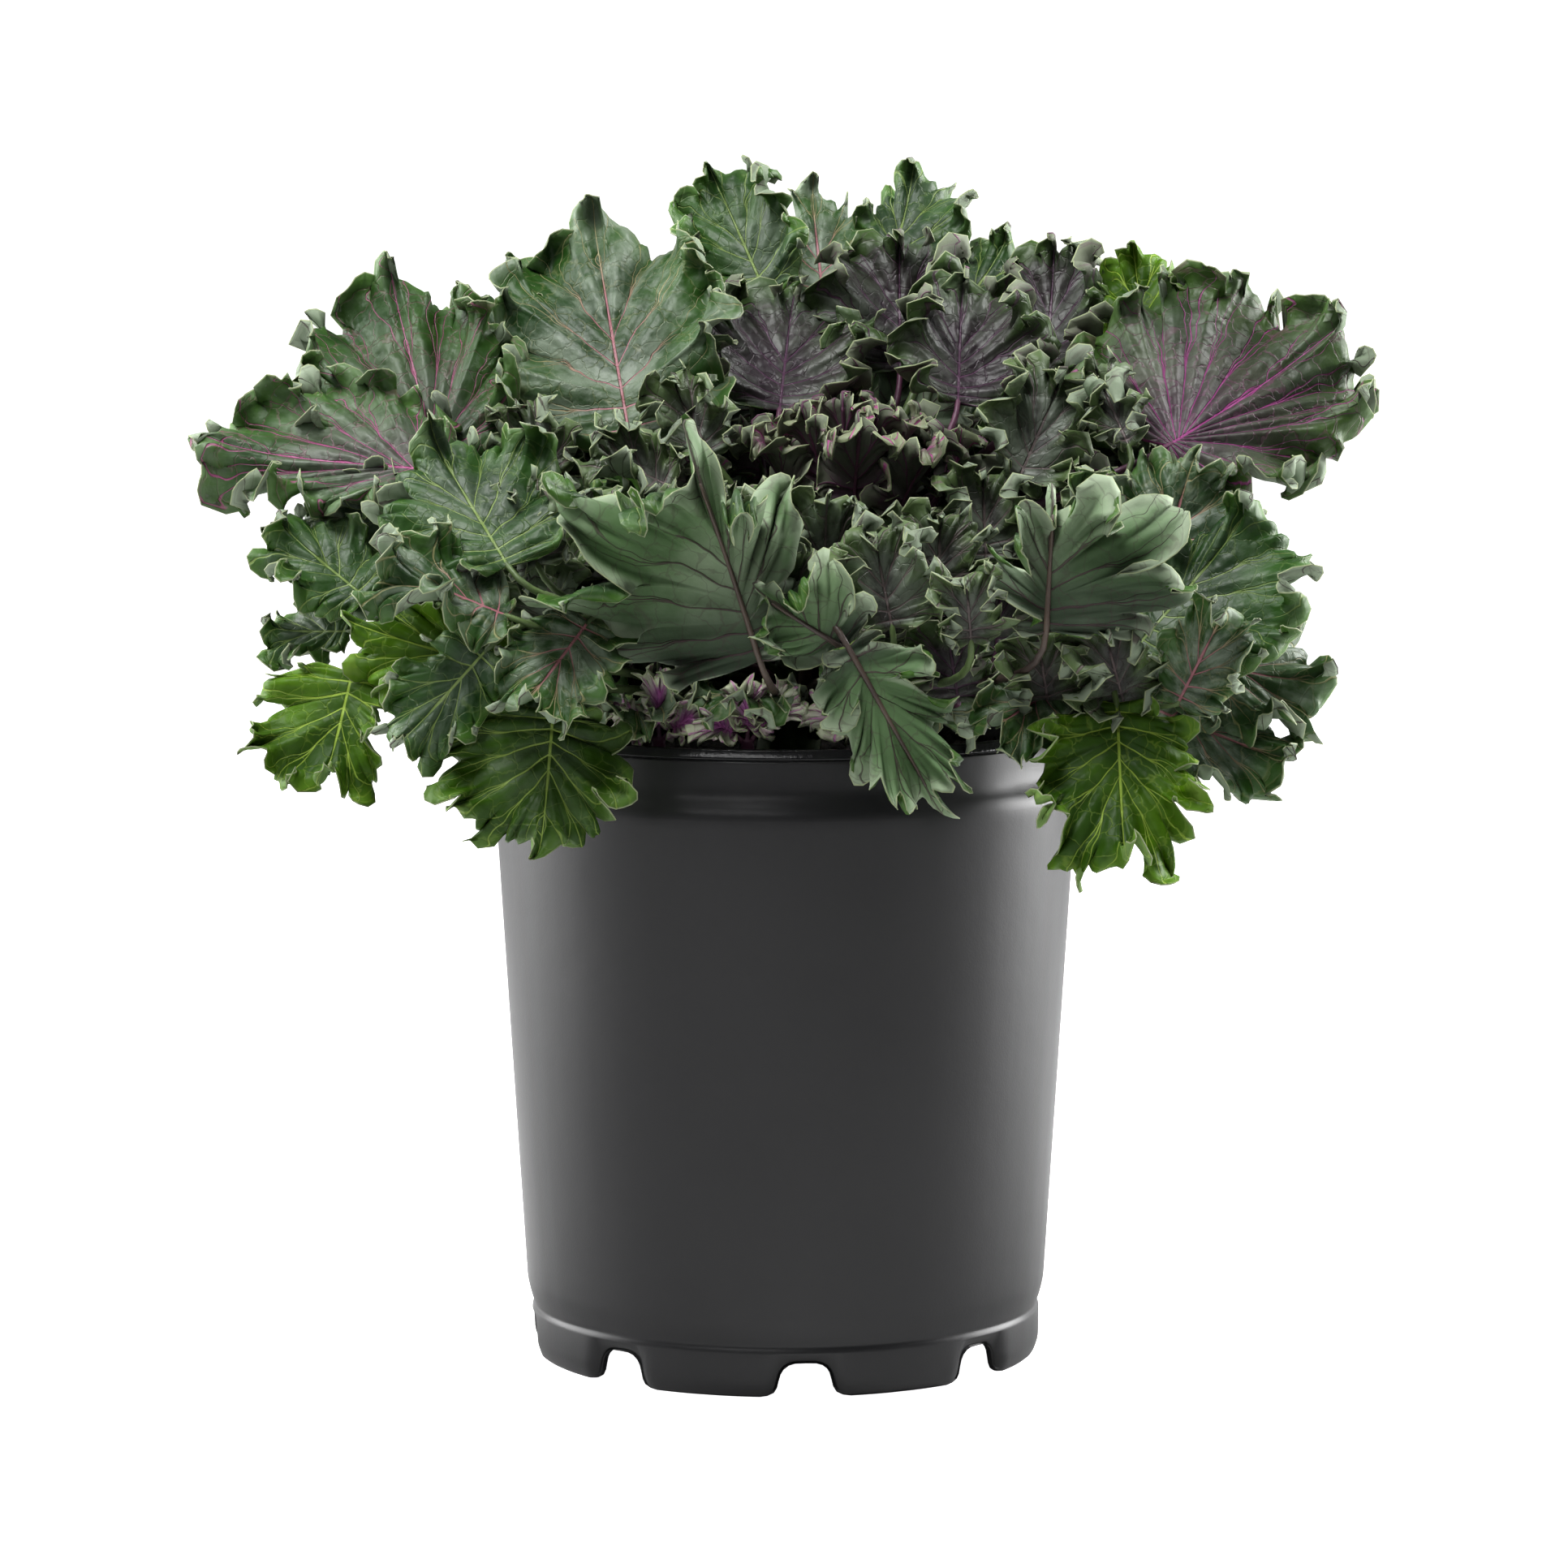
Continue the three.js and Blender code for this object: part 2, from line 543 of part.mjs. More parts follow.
function head() {
  const top = new THREE.Vector3(...HEART_BASE);
  const foot = new THREE.Vector3(0, 0, STEM_FOOT);
  // each stalk has its own height on the stem, the flattest lowest, and starts just under the stem's skin
  const steepness = ({ hub: [x, y, z] }) => (z - STALK_LEVEL) / Math.hypot(x, y);
  const ranked = [...headLeaves].sort((a, b) => steepness(a) - steepness(b));
  const rootFor = (one) => {
    const share = THREE.MathUtils.lerp(0.14, 0.92, ranked.indexOf(one) / (ranked.length - 1));
    const centre = foot.clone().setZ(SOIL_TOP).lerp(top, share);
    const outward = new THREE.Vector3(...one.hub).sub(centre).setZ(0).normalize();
    const radius = THREE.MathUtils.lerp(STEM_FOOT_RADIUS, STEM_TOP_RADIUS, share);
    return centre.addScaledVector(outward, radius - 3);
  };
  // the stem is cut level at its top, and the heart stands on the cut
  const over = top.clone().lerp(foot, -0.04);
  const stem = bar(stemLine(foot, over), 4, 8, STEM_FOOT_RADIUS, STEM_TOP_RADIUS);
  const cut = stem.trimByPlane([0, 0, -1], -STEM_TOP);
  return wasm.Manifold.union([cut, ...leafParts(headLeaves, rootFor, STALK_RADIUS, 2, 1)]);
}

function heart() {
  const foot = new THREE.Vector3(...HEART_BASE);
  const top = new THREE.Vector3(...HEART_TOP);
  const under = foot.clone().lerp(top, -0.1);
  const line = new THREE.CatmullRomCurve3([under, foot.clone().lerp(top, 0.5), top]);
  const core = bar(line, 3, 8, 5.5, 6).trimByPlane([0, 0, 1], STEM_TOP + GAP);
  const rootFor = () => foot.clone().lerp(top, 0.6);
  return wasm.Manifold.union([core, ...leafParts(heartLeaves, rootFor, 1.3, 2, 101)]);
}

function sideShoot(shoot, number) {
  const foot = new THREE.Vector3(shoot.x, shoot.y, SHOOT_FOOT);
  const top = new THREE.Vector3(shoot.x, shoot.y - 4, SHOOT_TOP);
  const leaves = shoot.leaves.map((degrees, k) => {
    const angle = THREE.MathUtils.degToRad(degrees);
    const out = [Math.cos(angle), -0.35, Math.abs(Math.sin(angle)) + 0.25];
    const length = 10 + 5 * draw(shoot.x, k);
    const hub = [top.x + out[0] * 5, top.y + out[1] * 3, top.z + 3 * out[2]];
    const tip = hub.map((value, axis) => value + out[axis] * length);
    return leaf(hub, tip, [0, -1, 0.5], [5, 5], 1.5, 2, { cup: 20 });
  });
  const stem = bar(stemLine(foot, top), 3, 6, SHOOT_RADIUS, SHOOT_RADIUS * 0.7);
  const rootFor = () => foot.clone().lerp(top, 0.9);
  return wasm.Manifold.union([stem, ...leafParts(leaves, rootFor, 1.1, 1, 201 + 10 * number)]);
}

// ---------------------------------------------------------------- assembly
const group = new THREE.Group();

function place(name, manifold, color, roughness) {
  const material = new THREE.MeshStandardMaterial({ color, roughness, metalness: 0 });
  const mesh = new THREE.Mesh(toGeometry(manifold.simplify(0.05)), material);
  mesh.name = name;
  group.add(mesh);
}

const stems = [
  { x: 0, y: 0, foot: STEM_FOOT, radius: STEM_FOOT_RADIUS },
  ...sideShoots.map(({ x, y }) => ({ x, y, foot: SHOOT_FOOT, radius: SHOOT_RADIUS })),
];

place("pot", pot(), 0x3a3a3c, 0.45);
place("soil", soil(stems), 0x1e1713, 0.95);
place("kale_head", head(), 0x4e6a48, 0.7);
place("kale_heart", heart(), 0x4a2c48, 0.7);
sideShoots.forEach((shoot, number) => place(shoot.name, sideShoot(shoot, number), 0x76667a, 0.7));

export default group;
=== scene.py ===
"""Looks of an ornamental kale in a black nursery pot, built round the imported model. Sizes are in millimetres
until a mesh is made; the front of the plant faces -Y."""
import functools
import math

import bpy
import numpy as np
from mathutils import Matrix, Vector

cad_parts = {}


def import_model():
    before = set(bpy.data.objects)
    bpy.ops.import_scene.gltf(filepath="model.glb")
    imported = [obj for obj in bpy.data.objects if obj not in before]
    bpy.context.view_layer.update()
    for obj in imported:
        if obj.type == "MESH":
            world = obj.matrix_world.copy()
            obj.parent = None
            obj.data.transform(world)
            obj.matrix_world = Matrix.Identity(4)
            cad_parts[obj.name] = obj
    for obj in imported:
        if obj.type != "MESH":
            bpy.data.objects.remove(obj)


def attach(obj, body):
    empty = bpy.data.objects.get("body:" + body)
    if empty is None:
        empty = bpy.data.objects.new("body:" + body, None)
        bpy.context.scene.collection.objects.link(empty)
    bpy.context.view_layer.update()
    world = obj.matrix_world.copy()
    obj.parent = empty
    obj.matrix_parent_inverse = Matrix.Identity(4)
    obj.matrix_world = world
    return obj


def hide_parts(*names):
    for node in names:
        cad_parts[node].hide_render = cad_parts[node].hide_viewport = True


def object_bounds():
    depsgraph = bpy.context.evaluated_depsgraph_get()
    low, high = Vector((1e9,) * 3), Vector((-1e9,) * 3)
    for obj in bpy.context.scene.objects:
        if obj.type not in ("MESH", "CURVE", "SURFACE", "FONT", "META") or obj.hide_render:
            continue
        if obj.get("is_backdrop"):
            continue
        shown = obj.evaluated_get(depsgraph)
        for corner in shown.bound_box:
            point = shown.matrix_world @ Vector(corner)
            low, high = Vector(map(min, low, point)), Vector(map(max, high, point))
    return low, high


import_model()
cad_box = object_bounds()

MM = 0.001
BODY = "root"

# -------- camera and studio
CAMERA_DISTANCE = 1850
CAMERA_HEIGHT = 385
CAMERA_SIDE = -0.5
CAMERA_PITCH_DEG = 6.109
FOCAL_PIXELS = 6993
IMAGE_PIXELS = 1932
SENSOR = 36
AMBIENT_DEPTHS = (-0.3, 0.7)  # the light from all round grows from the viewer's side to the back
AMBIENT_STRENGTHS = (0.005, 0.36)
BACKDROP = 1.05  # brightness of the white behind the plant
LIGHTS = {  # place and target in metres, width and height of the box, power in watts
    "softbox_key": dict(place=(-0.45, -0.6, 1.9), target=(0, 0, 0.28), size=(0.8, 0.8), power=46),
    "softbox_fill": dict(place=(-0.65, -1.7, 1.02), target=(0, 0, 0.28), size=(1.5, 0.14), power=5),
    "softbox_left": dict(place=(-1.45, 0.5, 0.6), target=(0, 0, 0.2), size=(1.3, 2.0), power=64),
    "softbox_right": dict(place=(1.35, 0.5, 0.6), target=(0, 0, 0.2), size=(1.0, 2.0), power=78),
}
EXPOSURE = 0.14
GAMMA = 0.88
FLOOR_SIZE = 12
FLOOR_GLOW = 0.95  # only towards the camera, so that the floor shows white without a shadow

# -------- pot
POT_HEIGHT = 207.5
LIP_RADIUS = 92.3
LIP_HEIGHT = 3.5
COLLAR_RADIUS = 92.8
COVE_TOP = 193
SHOULDER_RADIUS = 95.5
SHOULDER_HEIGHT = 188
BODY_BOTTOM_RADIUS = 85.2
BODY_BOTTOM = 24
GROOVE_RADIUS = 83
GROOVE_HEIGHT = 16.5
FOOT_RADIUS = 83.7
FOOT_INNER_RADIUS = 79
FLOOR_UNDERSIDE = 13
FLOOR_TOP = 15.2
WALL = 2
NOTCH_COUNT = 8
FRONT_NOTCH_DEG = 4.5
# half of a notch: distance from its middle along the foot, and height of the arch there
NOTCH_ARCH = [
    (0, 11), (3.5, 10.9), (5.5, 10.3), (7.2, 9), (8.2, 7.4),
    (8.9, 5), (9.4, 3), (10.4, 1.4), (12.5, 0.4), (15, 0),
]
BETWEEN_NOTCHES = [17, 19, 22, 25, 29]  # more places along the foot, up to half way to the next notch
BEVEL_WIDTH = 5
BEVEL_DEPTH = 2.4

# -------- soil, stem and side shoots
SOIL_TOP = 194
SOIL_MOUND = 2.5
SOIL_RADIUS = 90.4
SOIL_DEPTH = 30
SOIL_RINGS = 46
SOIL_SECTORS = 150
SOIL_BUMPS = (0.21, 0.37, 0.66, 1.1)  # the uneven surface's waves, in radians a millimetre
CRUMBS = 420
STEM_FOOT = 150
STEM_TOP = 262
STEM_FOOT_RADIUS = 11
STEM_TOP_RADIUS = 8
STEM_LEAN = 12
SHOOT_FOOT = 178
SHOOT_TOP = 210
SHOOT_RADIUS = 3
SHOOT_STALK_RADIUS = 1.1
HEART_RADII = (5.5, 6)  # of the heart's own stem, below and at the top
HEART_STALK_RADIUS = 1.3

# -------- leaves
STALK_RADIUS = 2.3
THIN_STALK = 0.8  # the filling leaves' stalks, as a share of the others
INNER_ROOTS = 200  # the filling leaves' stalks begin near the axis, half way down to this height
STALK_LEVEL = 228  # stalks that rise from here are the middle ones on the stem
STALK_ROOTS = (0.14, 0.92)  # the lowest and the highest root, as shares of the stem above the soil
SPREAD = 0.92  # the outline goes this share of a half turn from the tip towards the stalk
FULLNESS = 0.8  # below 1, the outline is fuller than an ellipse
CENTRE = 0.42  # the widest place, as a share of the length
RIB_SHARE = 0.55  # the side veins leave the midrib along this share of the length

# the fine blade; angles in radians, and depths counted from the edge
KEPT_RUFFLE = 0.65  # what the solids' waves keep of their height, because the frills take over
FINE_LOBE = 0.05  # what the solids' lobes keep of their depth, because small lobes take over
RAY_STEP = 0.8  # between the rays of a fine blade, along its edge
FRONT_LIMIT = 12  # the filling leaves up to this depth show from the front
FRONT_GRAIN = 1.05  # their coarseness
BACK_GRAIN = 1.9  # that of the ones behind, and of the rings at the back
HALF_THICKNESS = 0.3
RIM_THICKNESS = 0.16
LARGE_BLADE = 38  # mean reach of a blade of full size
TOOTH = 2.6  # half the length of a tooth along the edge
TOOTH_DEPTH = 1.1
PUCKER = 0.8  # how high the blade bulges between its side veins
VEIN_RELIEF = 0.55  # how far a side vein stands out below
VEIN_WIDTH = 0.9
MAIN_LOBE = 3.3  # width of a main lobe, in small lobes
MAIN_CUT = 9  # depth of the notches between the main lobes
MAIN_ANGLE = 1.9  # how far a main lobe bends up or down
MAIN_DEPTH = 17
WAVE = 19  # half the length of a wide wave along the edge
WAVE_ANGLE = 0.6
WAVE_DEPTH = 16
FOLD_DEPTH = 1.4  # in widths of a small lobe
FOLD_ANGLE = 3.0  # how far a small lobe bends up or down
TWIST_ANGLE = 1.5  # how far the sides of a lobe turn against each other
FINE_ANGLE = 0.9  # of the finest frills, which fade over FINE_DEPTH
FINE_DEPTH = 2.5
SIDE_LEAN = 1.2  # how far the rays lean along the edge, which fades over LEAN_DEPTH
LEAN_DEPTH = 5
MOST_CURL = 2.5
SPARE = 6  # how far the flat rim lies outside the outline, because the folds draw it in


def draw(seed, index):
    """A fixed draw between 0 and 1, the same as in the solids."""
    value = np.sin(seed * 12.9898 + index * 78.233) * 43758.5453
    return value - np.floor(value)


FORWARD = [0, -0.9, 0.3]


def leaf(hub, tip, width, kind, face=FORWARD, ruffle=4, lobes=3, back=2, bend=0.01, cup=0.01, rib=RIB_SHARE,
         curl=1, cut=6.5, lobe_size=8, grain=1, wild=1):
    """One leaf. hub: where the stalk meets the blade. tip: the end of the midrib. width: reach to the left
    and the right of the midrib. kind: its finish, one of KINDS. face: where the upper side looks. ruffle:
    height of the waves. lobes: on each side. back: how far the ears reach behind the hub. bend and cup:
    degrees. rib: share of the midrib with side veins. curl: strength of the fine frills. cut and lobe_size:
    depth and width of the small lobes. grain: coarseness. wild: strength of the wide folds and depth of the
    main notches."""
    return {**locals(), "veins": max(5, round(lobes * 1.6))}


HABITS = {  # what all leaves of a kind share
    "frill": dict(lobe_size=5.5, cut=4.5, curl=1.4, cup=55, wild=1.4),
    "dark": dict(lobe_size=6, cut=5, curl=1.35, cup=40, wild=1.2),
    "fan_grey": dict(lobe_size=6.5, cut=5, curl=1.4, wild=0.6),
    "fan_green": dict(lobe_size=6.5, cut=5, curl=1.4, wild=0.6),
    "fan_purple": dict(lobe_size=6, cut=5, curl=1.5, wild=0.6),
}


def grown(one, seed):
    """The leaf with its own draws and the habits of its kind."""
    return {**one, "seed": seed, **HABITS.get(one["kind"], {})}


# the leaves that the solids have too
NAMED_LEAVES = [
    # tall leaves at the back, left to right
    leaf([-50, -18, 300], [-63, 45, 366], [36, 34], "frosted", [-0.1, -0.85, 0.5], 7, 4, bend=-20, wild=0.6),
    leaf([-74, 6, 312], [-106, 40, 344], [12, 18], "frosted", [-0.2, -0.8, 0.6], bend=-10),
    leaf([-6, 50, 345], [-24, 78, 385], [18, 20], "green", [-0.3, -0.9, 0.3], cup=40),
    leaf([13, 60, 341], [9, 95, 378], [18, 20], "frosted"),
    leaf([34, 58, 349], [44, 92, 385], [13, 22], "green", [-0.2, -0.9, 0.3]),
    leaf([55, 44, 336], [75, 72, 362], [14, 13], "green", [-0.3, -0.9, 0.3]),
    leaf([86, 25, 322], [90, 52, 360], [17, 18], "dark", [-0.2, -0.95, 0.2]),
    leaf([118, 22, 330], [116, 44, 360], [13, 14], "bright", [-0.2, -0.9, 0.3]),
    # round fans at the far left and right
    leaf([-113, -40, 292], [-184, -22, 296], [16, 32], "fan_grey", [0, -0.7, 0.7], 7, 4, back=6, rib=0.2),
    leaf([-111, -30, 292], [-129, 25, 346], [36, 28], "fan_green", [0, -0.85, 0.5], 7, 4, back=4, rib=0.2),
    leaf([123, -25, 299], [178, 12, 330], [50, 32], "fan_purple", [-0.35, -0.85, 0.35], 7, 5, back=12,
         rib=0.12),
    # dark cups round the heart
    leaf([38, 38, 321], [38, 60, 363], [26, 24], "dark", [0, -1, 0.2], 4, 4),
    leaf([-2, 8, 309], [2, 45, 343], [30, 28], "dark", [0.1, -0.9, 0.4], 4, 4, cup=40),
    leaf([56, -2, 312], [58, 28, 348], [19, 26], "dark", [0.1, -0.95, 0.3], 4, 4),
    # right side
    leaf([117, -50, 256], [130, -42, 295], [20, 24], "frosted", [0, -0.8, 0.6], 5),
    leaf([110, -75, 238], [149, -62, 281], [15, 36], "green", [-0.3, -0.8, 0.55], 6, 4),
    leaf([121, -60, 234], [172, -55, 223], [26, 24], "frosted", [0, -0.7, 0.7], 7, 4),
    leaf([103, -92, 222], [104, -118, 172], [22, 25], "bright", [0.1, -0.95, 0.1], 4, 4, wild=1.2),
    leaf([114, -70, 219], [159, -76, 201], [14, 18], "frosted", [0.1, -0.8, 0.5], 5),
    leaf([80, -112, 246], [82, -118, 288], [38, 14], "shaded", [0, 0.9, 0.3], 5, bend=-20, wild=2.2),
    # front
    leaf([-8, -100, 236], [-29, -128, 300], [18, 50], "shaded", [0, 0.9, 0.3], 6, 4, bend=-30, wild=2.2),
    leaf([19, -118, 242], [47, -118, 192], [14, 16], "turned", [0, 0.9, -0.1], wild=1.8),
    leaf([18, -112, 241], [-8, -125, 258], [18, 14], "turned", [0, 0.9, 0.2], wild=1.8),
    leaf([84, -84, 226], [62, -108, 214], [14, 13], "frosted", [0, -0.7, 0.7]),
    # left side
    leaf([-86, -95, 265], [-112, -55, 302], [24, 30], "green", [0, -0.7, 0.7], 5, 4, wild=1.3),
    leaf([-133, -62, 253], [-162, -48, 275], [14, 18], "green", [-0.1, -0.6, 0.8], 5),
    leaf([-86, -102, 250], [-129, -105, 268], [12, 18], "frosted", [-0.1, -0.5, 0.85], wild=1.6),
    leaf([-83, -90, 231], [-134, -82, 245], [18, 14], "bright", wild=1.2),
    leaf([-136, -75, 230], [-144, -88, 194], [14, 26], "bright", [-0.2, -0.9, 0.2], 5, wild=1.2),
    leaf([-92, -105, 240], [-120, -108, 209], [12, 15], "green", [-0.2, -0.9, 0.2]),
    leaf([-72, -100, 220], [-75, -112, 180], [22, 32], "deep", [0, -0.95, 0.2], 4, 4, wild=1.2),
    leaf([-61, -100, 248], [-81, -122, 222], [16, 16], "frosted", [-0.1, -0.9, 0.4]),
    leaf([-139, -50, 241], [-166, -40, 240], [11, 11], "green", [0, -0.7, 0.7]),
    leaf([-115, -40, 282], [-164, -30, 268], [12, 12], "green", [0, -0.8, 0.6]),
    # frilled leaves between the tiers
    leaf([-37, -45, 287], [-62, -50, 299], [12, 13], "frill", [0, -0.6, 0.8]),
    leaf([-43, -80, 264], [-60, -88, 280], [11, 11], "frill", [-0.3, -0.8, 0.5], 3),
    leaf([74, -25, 286], [90, -10, 321], [16, 14], "frill"),
    leaf([110, -30, 299], [99, -12, 325], [8, 8], "frill", ruffle=2),
    leaf([-24, -22, 296], [-38, -16, 320], [12, 11], "frill", [0.1, -0.8, 0.6]),
    leaf([-74, -26, 290], [-88, -18, 311], [10, 11], "frill", [0, -0.8, 0.6]),
    leaf([33, -95, 246], [27, -92, 276], [14, 16], "frill"),
    leaf([57, -112, 243], [55, -118, 264], [11, 11], "frill", ruffle=3),
    leaf([106, -85, 220], [97, -105, 250], [14, 12], "frill"),
    leaf([122, -92, 222], [136, -104, 253], [12, 14], "frosted"),
    leaf([4, -84, 247], [0, -90, 267], [11, 11], "frill", [0, -0.8, 0.6], 3),
    leaf([82, -88, 220], [78, -100, 244], [13, 12], "frill", ruffle=3),
    leaf([48, -60, 254], [49, -58, 279], [14, 13], "frill", ruffle=3),
    leaf([-78, -70, 264], [-86, -72, 288], [12, 14], "frill", [0, -0.9, 0.4]),
    leaf([64, -40, 263], [63, -34, 291], [15, 14], "frill"),
    # behind the side leaves
    leaf([112, -10, 244], [150, -8, 268], [19, 19], "green", [0.3, -0.5, 0.8], 5),
    leaf([-100, -22, 240], [-138, -28, 262], [19, 19], "green", [-0.3, -0.5, 0.8], 5),
]
# rings of leaves at the back: angles from +X towards +Y, distance from the axis and height of hub and tip
RINGS = [
    dict(angles=[22, 58, 92, 126, 158], hub=(84, 284), tip=(128, 326), lean=-0.3, width=27),
    dict(angles=[14, 38, 64, 96, 130, 164], hub=(101, 254), tip=(133, 282), lean=-0.3, width=22),
    dict(angles=[8, 40, 72, 106, 140, 172], hub=(94, 258), tip=(130, 210), lean=0.8, width=24),
]


def around(degrees):
    """The level direction at an angle from +X towards +Y."""
    return np.array([math.cos(math.radians(degrees)), math.sin(math.radians(degrees))])


def head_leaves():
    """The named leaves and those of the rings."""
    leaves = list(NAMED_LEAVES)
    for ring in RINGS:
        for number, degrees in enumerate(ring["angles"]):
            out = around(degrees)
            sway = 8 * (draw(number, ring["hub"][1]) - 0.5)
            hub = [*(out * ring["hub"][0]), ring["hub"][1] + sway]
            tip = [*(out * ring["tip"][0]), ring["tip"][1] + sway]
            face = [*(out * ring["lean"]), 0.85]
            leaves.append(leaf(hub, tip, [ring["width"]] * 2, "green", face, 6, bend=-25, grain=BACK_GRAIN))
    return [grown(one, 1 + number) for number, one in enumerate(leaves)]


GOLDEN_ANGLE = 137.5
HEART_LEAVES = 13
HEART_START_DEG = 258
HEART_BASE = [STEM_LEAN, -6, STEM_TOP]
HEART_TOP = [20, -12, 288]


def heart_leaves():
    """The young leaves round the heart's top, larger and lower from one to the next."""
    leaves = []
    for k in range(HEART_LEAVES):
        out = around(HEART_START_DEG + GOLDEN_ANGLE * k)
        width = 7 + 0.6 * k
        hub = [*(HEART_TOP[:2] + out * (5 + 1.2 * k)), HEART_TOP[2] + 4 - 1.4 * k]
        tip = [*(HEART_TOP[:2] + out * (9 + 2.5 * k)), HEART_TOP[2] + 26 - 1.1 * k]
        one = leaf(hub, tip, [width] * 2, "heart", [-out[0], -out[1], 0.5], 2.4, bend=-30, cup=30,
                   curl=1.2, cut=5.5, lobe_size=7, grain=0.8)
        leaves.append(grown(one, 101 + k))
    return leaves


SHOOTS = [  # where each grows, and the directions of its leaves as the viewer sees them
    {"name": "side_shoot_left", "x": -40, "y": -68, "leaves": [25, 88, 155]},
    {"name": "side_shoot_middle", "x": -12, "y": -76, "leaves": [40, 90, 160]},
    {"name": "side_shoot_right", "x": 25, "y": -74, "leaves": [15, 75, 150]},
]


def shoot_leaves(shoot, number):
    """The small leaves of a side shoot, spread towards the viewer."""
    leaves = []
    top = np.array([shoot["x"], shoot["y"] - 4, SHOOT_TOP])
    for k, degrees in enumerate(shoot["leaves"]):
        aside, above = around(degrees)
        out = np.array([aside, -0.35, abs(above) + 0.25])
        length = 10 + 5 * draw(shoot["x"], k)
        hub = top + out * [5, 3, 3]
        one = leaf(hub, hub + out * length, [5, 5], "lilac", [0, -1, 0.5], 1.5, 2, cup=20, curl=1.2,
                   cut=5, lobe_size=6.5, grain=0.6)
        leaves.append(grown(one, 201 + 10 * number + k))
    return leaves


def tier(span, count, radii, height, rise, size, kinds):
    """A ring of leaves inside the dome. span: start and end angle, -90 being the front. radii: half axes
    across and in depth. rise: how steeply the midribs climb. size: length of a leaf."""
    return locals()


TIERS = [
    tier((-180, 180), 15, (86, 64), 218, -0.3, 32, ["green", "frosted"]),
    tier((-173, 187), 15, (100, 66), 236, 1.5, 32, ["green", "frill"]),
    tier((-180, 180), 13, (86, 58), 256, 1.8, 32, ["frill", "green", "dark"]),
    tier((-35, 215), 9, (72, 48), 282, 1.8, 34, ["frill", "dark"]),
    tier((-20, 200), 9, (50, 38), 304, 2.2, 30, ["dark", "frill"]),
    tier((15, 165), 6, (68, 60), 298, 1.6, 38, ["green"]),
    tier((-170, -10), 9, (44, 34), 254, 2.5, 22, ["frill", "dark"]),
    tier((-200, 20), 10, (33, 22), 272, 2.5, 20, ["frill", "heart"]),
    tier((-220, -140), 6, (112, 60), 228, 0.8, 30, ["green", "frosted"]),
    tier((-220, -140), 5, (108, 60), 262, 0.8, 30, ["green", "frill"]),
    tier((-40, 40), 6, (104, 62), 228, 0.9, 30, ["green", "frosted"]),
    tier((-40, 40), 6, (98, 60), 262, 1.0, 32, ["frill", "green"]),
    tier((-40, 220), 9, (60, 30), 240, 3, 56, ["green", "dark"]),
    tier((-30, 210), 7, (40, 24), 262, 4, 50, ["dark"]),
    tier((-180, 180), 14, (40, 30), 286, 2.4, 19, ["frill", "heart"]),
    tier((-165, -15), 12, (64, 54), 262, 1.8, 20, ["frill", "dark"]),
    tier((-165, -15), 12, (74, 72), 240, 1.6, 20, ["frill", "dark"]),
    tier((-40, 60), 6, (88, 30), 286, 2.6, 26, ["frill", "dark"]),
    tier((-30, 30), 5, (96, 14), 270, 2.6, 36, ["dark", "green"]),
    tier((130, 220), 5, (88, 30), 276, 2.6, 26, ["frill", "dark"]),
]
CLEARANCE = 5  # between the inner parts of a filling leaf and a named one
DOME_CENTRE = np.array([8, 2, 0])
GAP_LEAVES = [  # these close gaps through which the floor would show
    leaf([100, 22, 262], [104, 26, 304], [15, 15], "dark"),
    leaf([122, 12, 268], [126, 14, 302], [12, 12], "dark"),
    leaf([54, -84, 222], [50, -92, 246], [13, 12], "dark", ruffle=3),
    leaf([66, -70, 236], [68, -74, 262], [13, 12], "dark", ruffle=3),
    leaf([-46, -34, 206], [-50, -40, 232], [13, 12], "dark"),
]


def blade_samples(one):
    """Some points of the blade's middle surface."""
    base = blade_frame(one)
    turn = np.linspace(0, 0.85, 9)[:, None]
    reach = np.array([[0, 0.25, 0.5, 0.7]])
    return np.concatenate([half_blade(one, base, side, turn, reach)[0].reshape(-1, 3) for side in (1, -1)])


def is_clear(points, others):
    """Whether no point of the others is nearer than the clearance."""
    for other in others:
        if np.linalg.norm(points.mean(axis=0) - other.mean(axis=0)) < 100:
            if np.linalg.norm(points[:, None] - other[None], axis=2).min() < CLEARANCE:
                return False
    return True


def filling_leaves(named):
    """The leaves that close the dome between the named ones, where those leave room."""
    leaves = [grown(one, 381 + number) for number, one in enumerate(GAP_LEAVES)]
    taken = [blade_samples(one) for one in named]
    for number, facts in enumerate(TIERS):
        for k in range(facts["count"]):
            seed = 401 + 20 * number + k
            share = (k + 0.5 + 0.5 * (draw(seed, 1) - 0.5)) / facts["count"]
            degrees = facts["span"][0] + share * (facts["span"][1] - facts["span"][0])
            out = np.array([*around(degrees), 0])
            hub = DOME_CENTRE + out * [*facts["radii"], 0] * (0.92 + 0.16 * draw(seed, 2))
            hub[2] = facts["height"] + 12 * (draw(seed, 3) - 0.5)
            along = unit(out + [0, 0, facts["rise"] + 0.8 * (draw(seed, 4) - 0.5)])
            size = facts["size"] * (0.8 + 0.4 * draw(seed, 5))
            kind = facts["kinds"][int(draw(seed, 6) * len(facts["kinds"]))]
            grain = FRONT_GRAIN if hub[1] < FRONT_LIMIT else BACK_GRAIN
            one = leaf(hub, hub + along * size, [size * 0.5] * 2, kind, out * 0.9 + [0, 0, 0.35],
                       bend=80 * (draw(seed, 7) - 0.6), curl=1.2, cut=5, lobe_size=6.5, grain=grain)
            one = grown(one, seed)
            if is_clear(blade_samples(one), taken):
                leaves.append(one)
    return leaves


# -------- the shape of a blade
def unit(vector):
    return vector / np.linalg.norm(vector, axis=-1, keepdims=True)


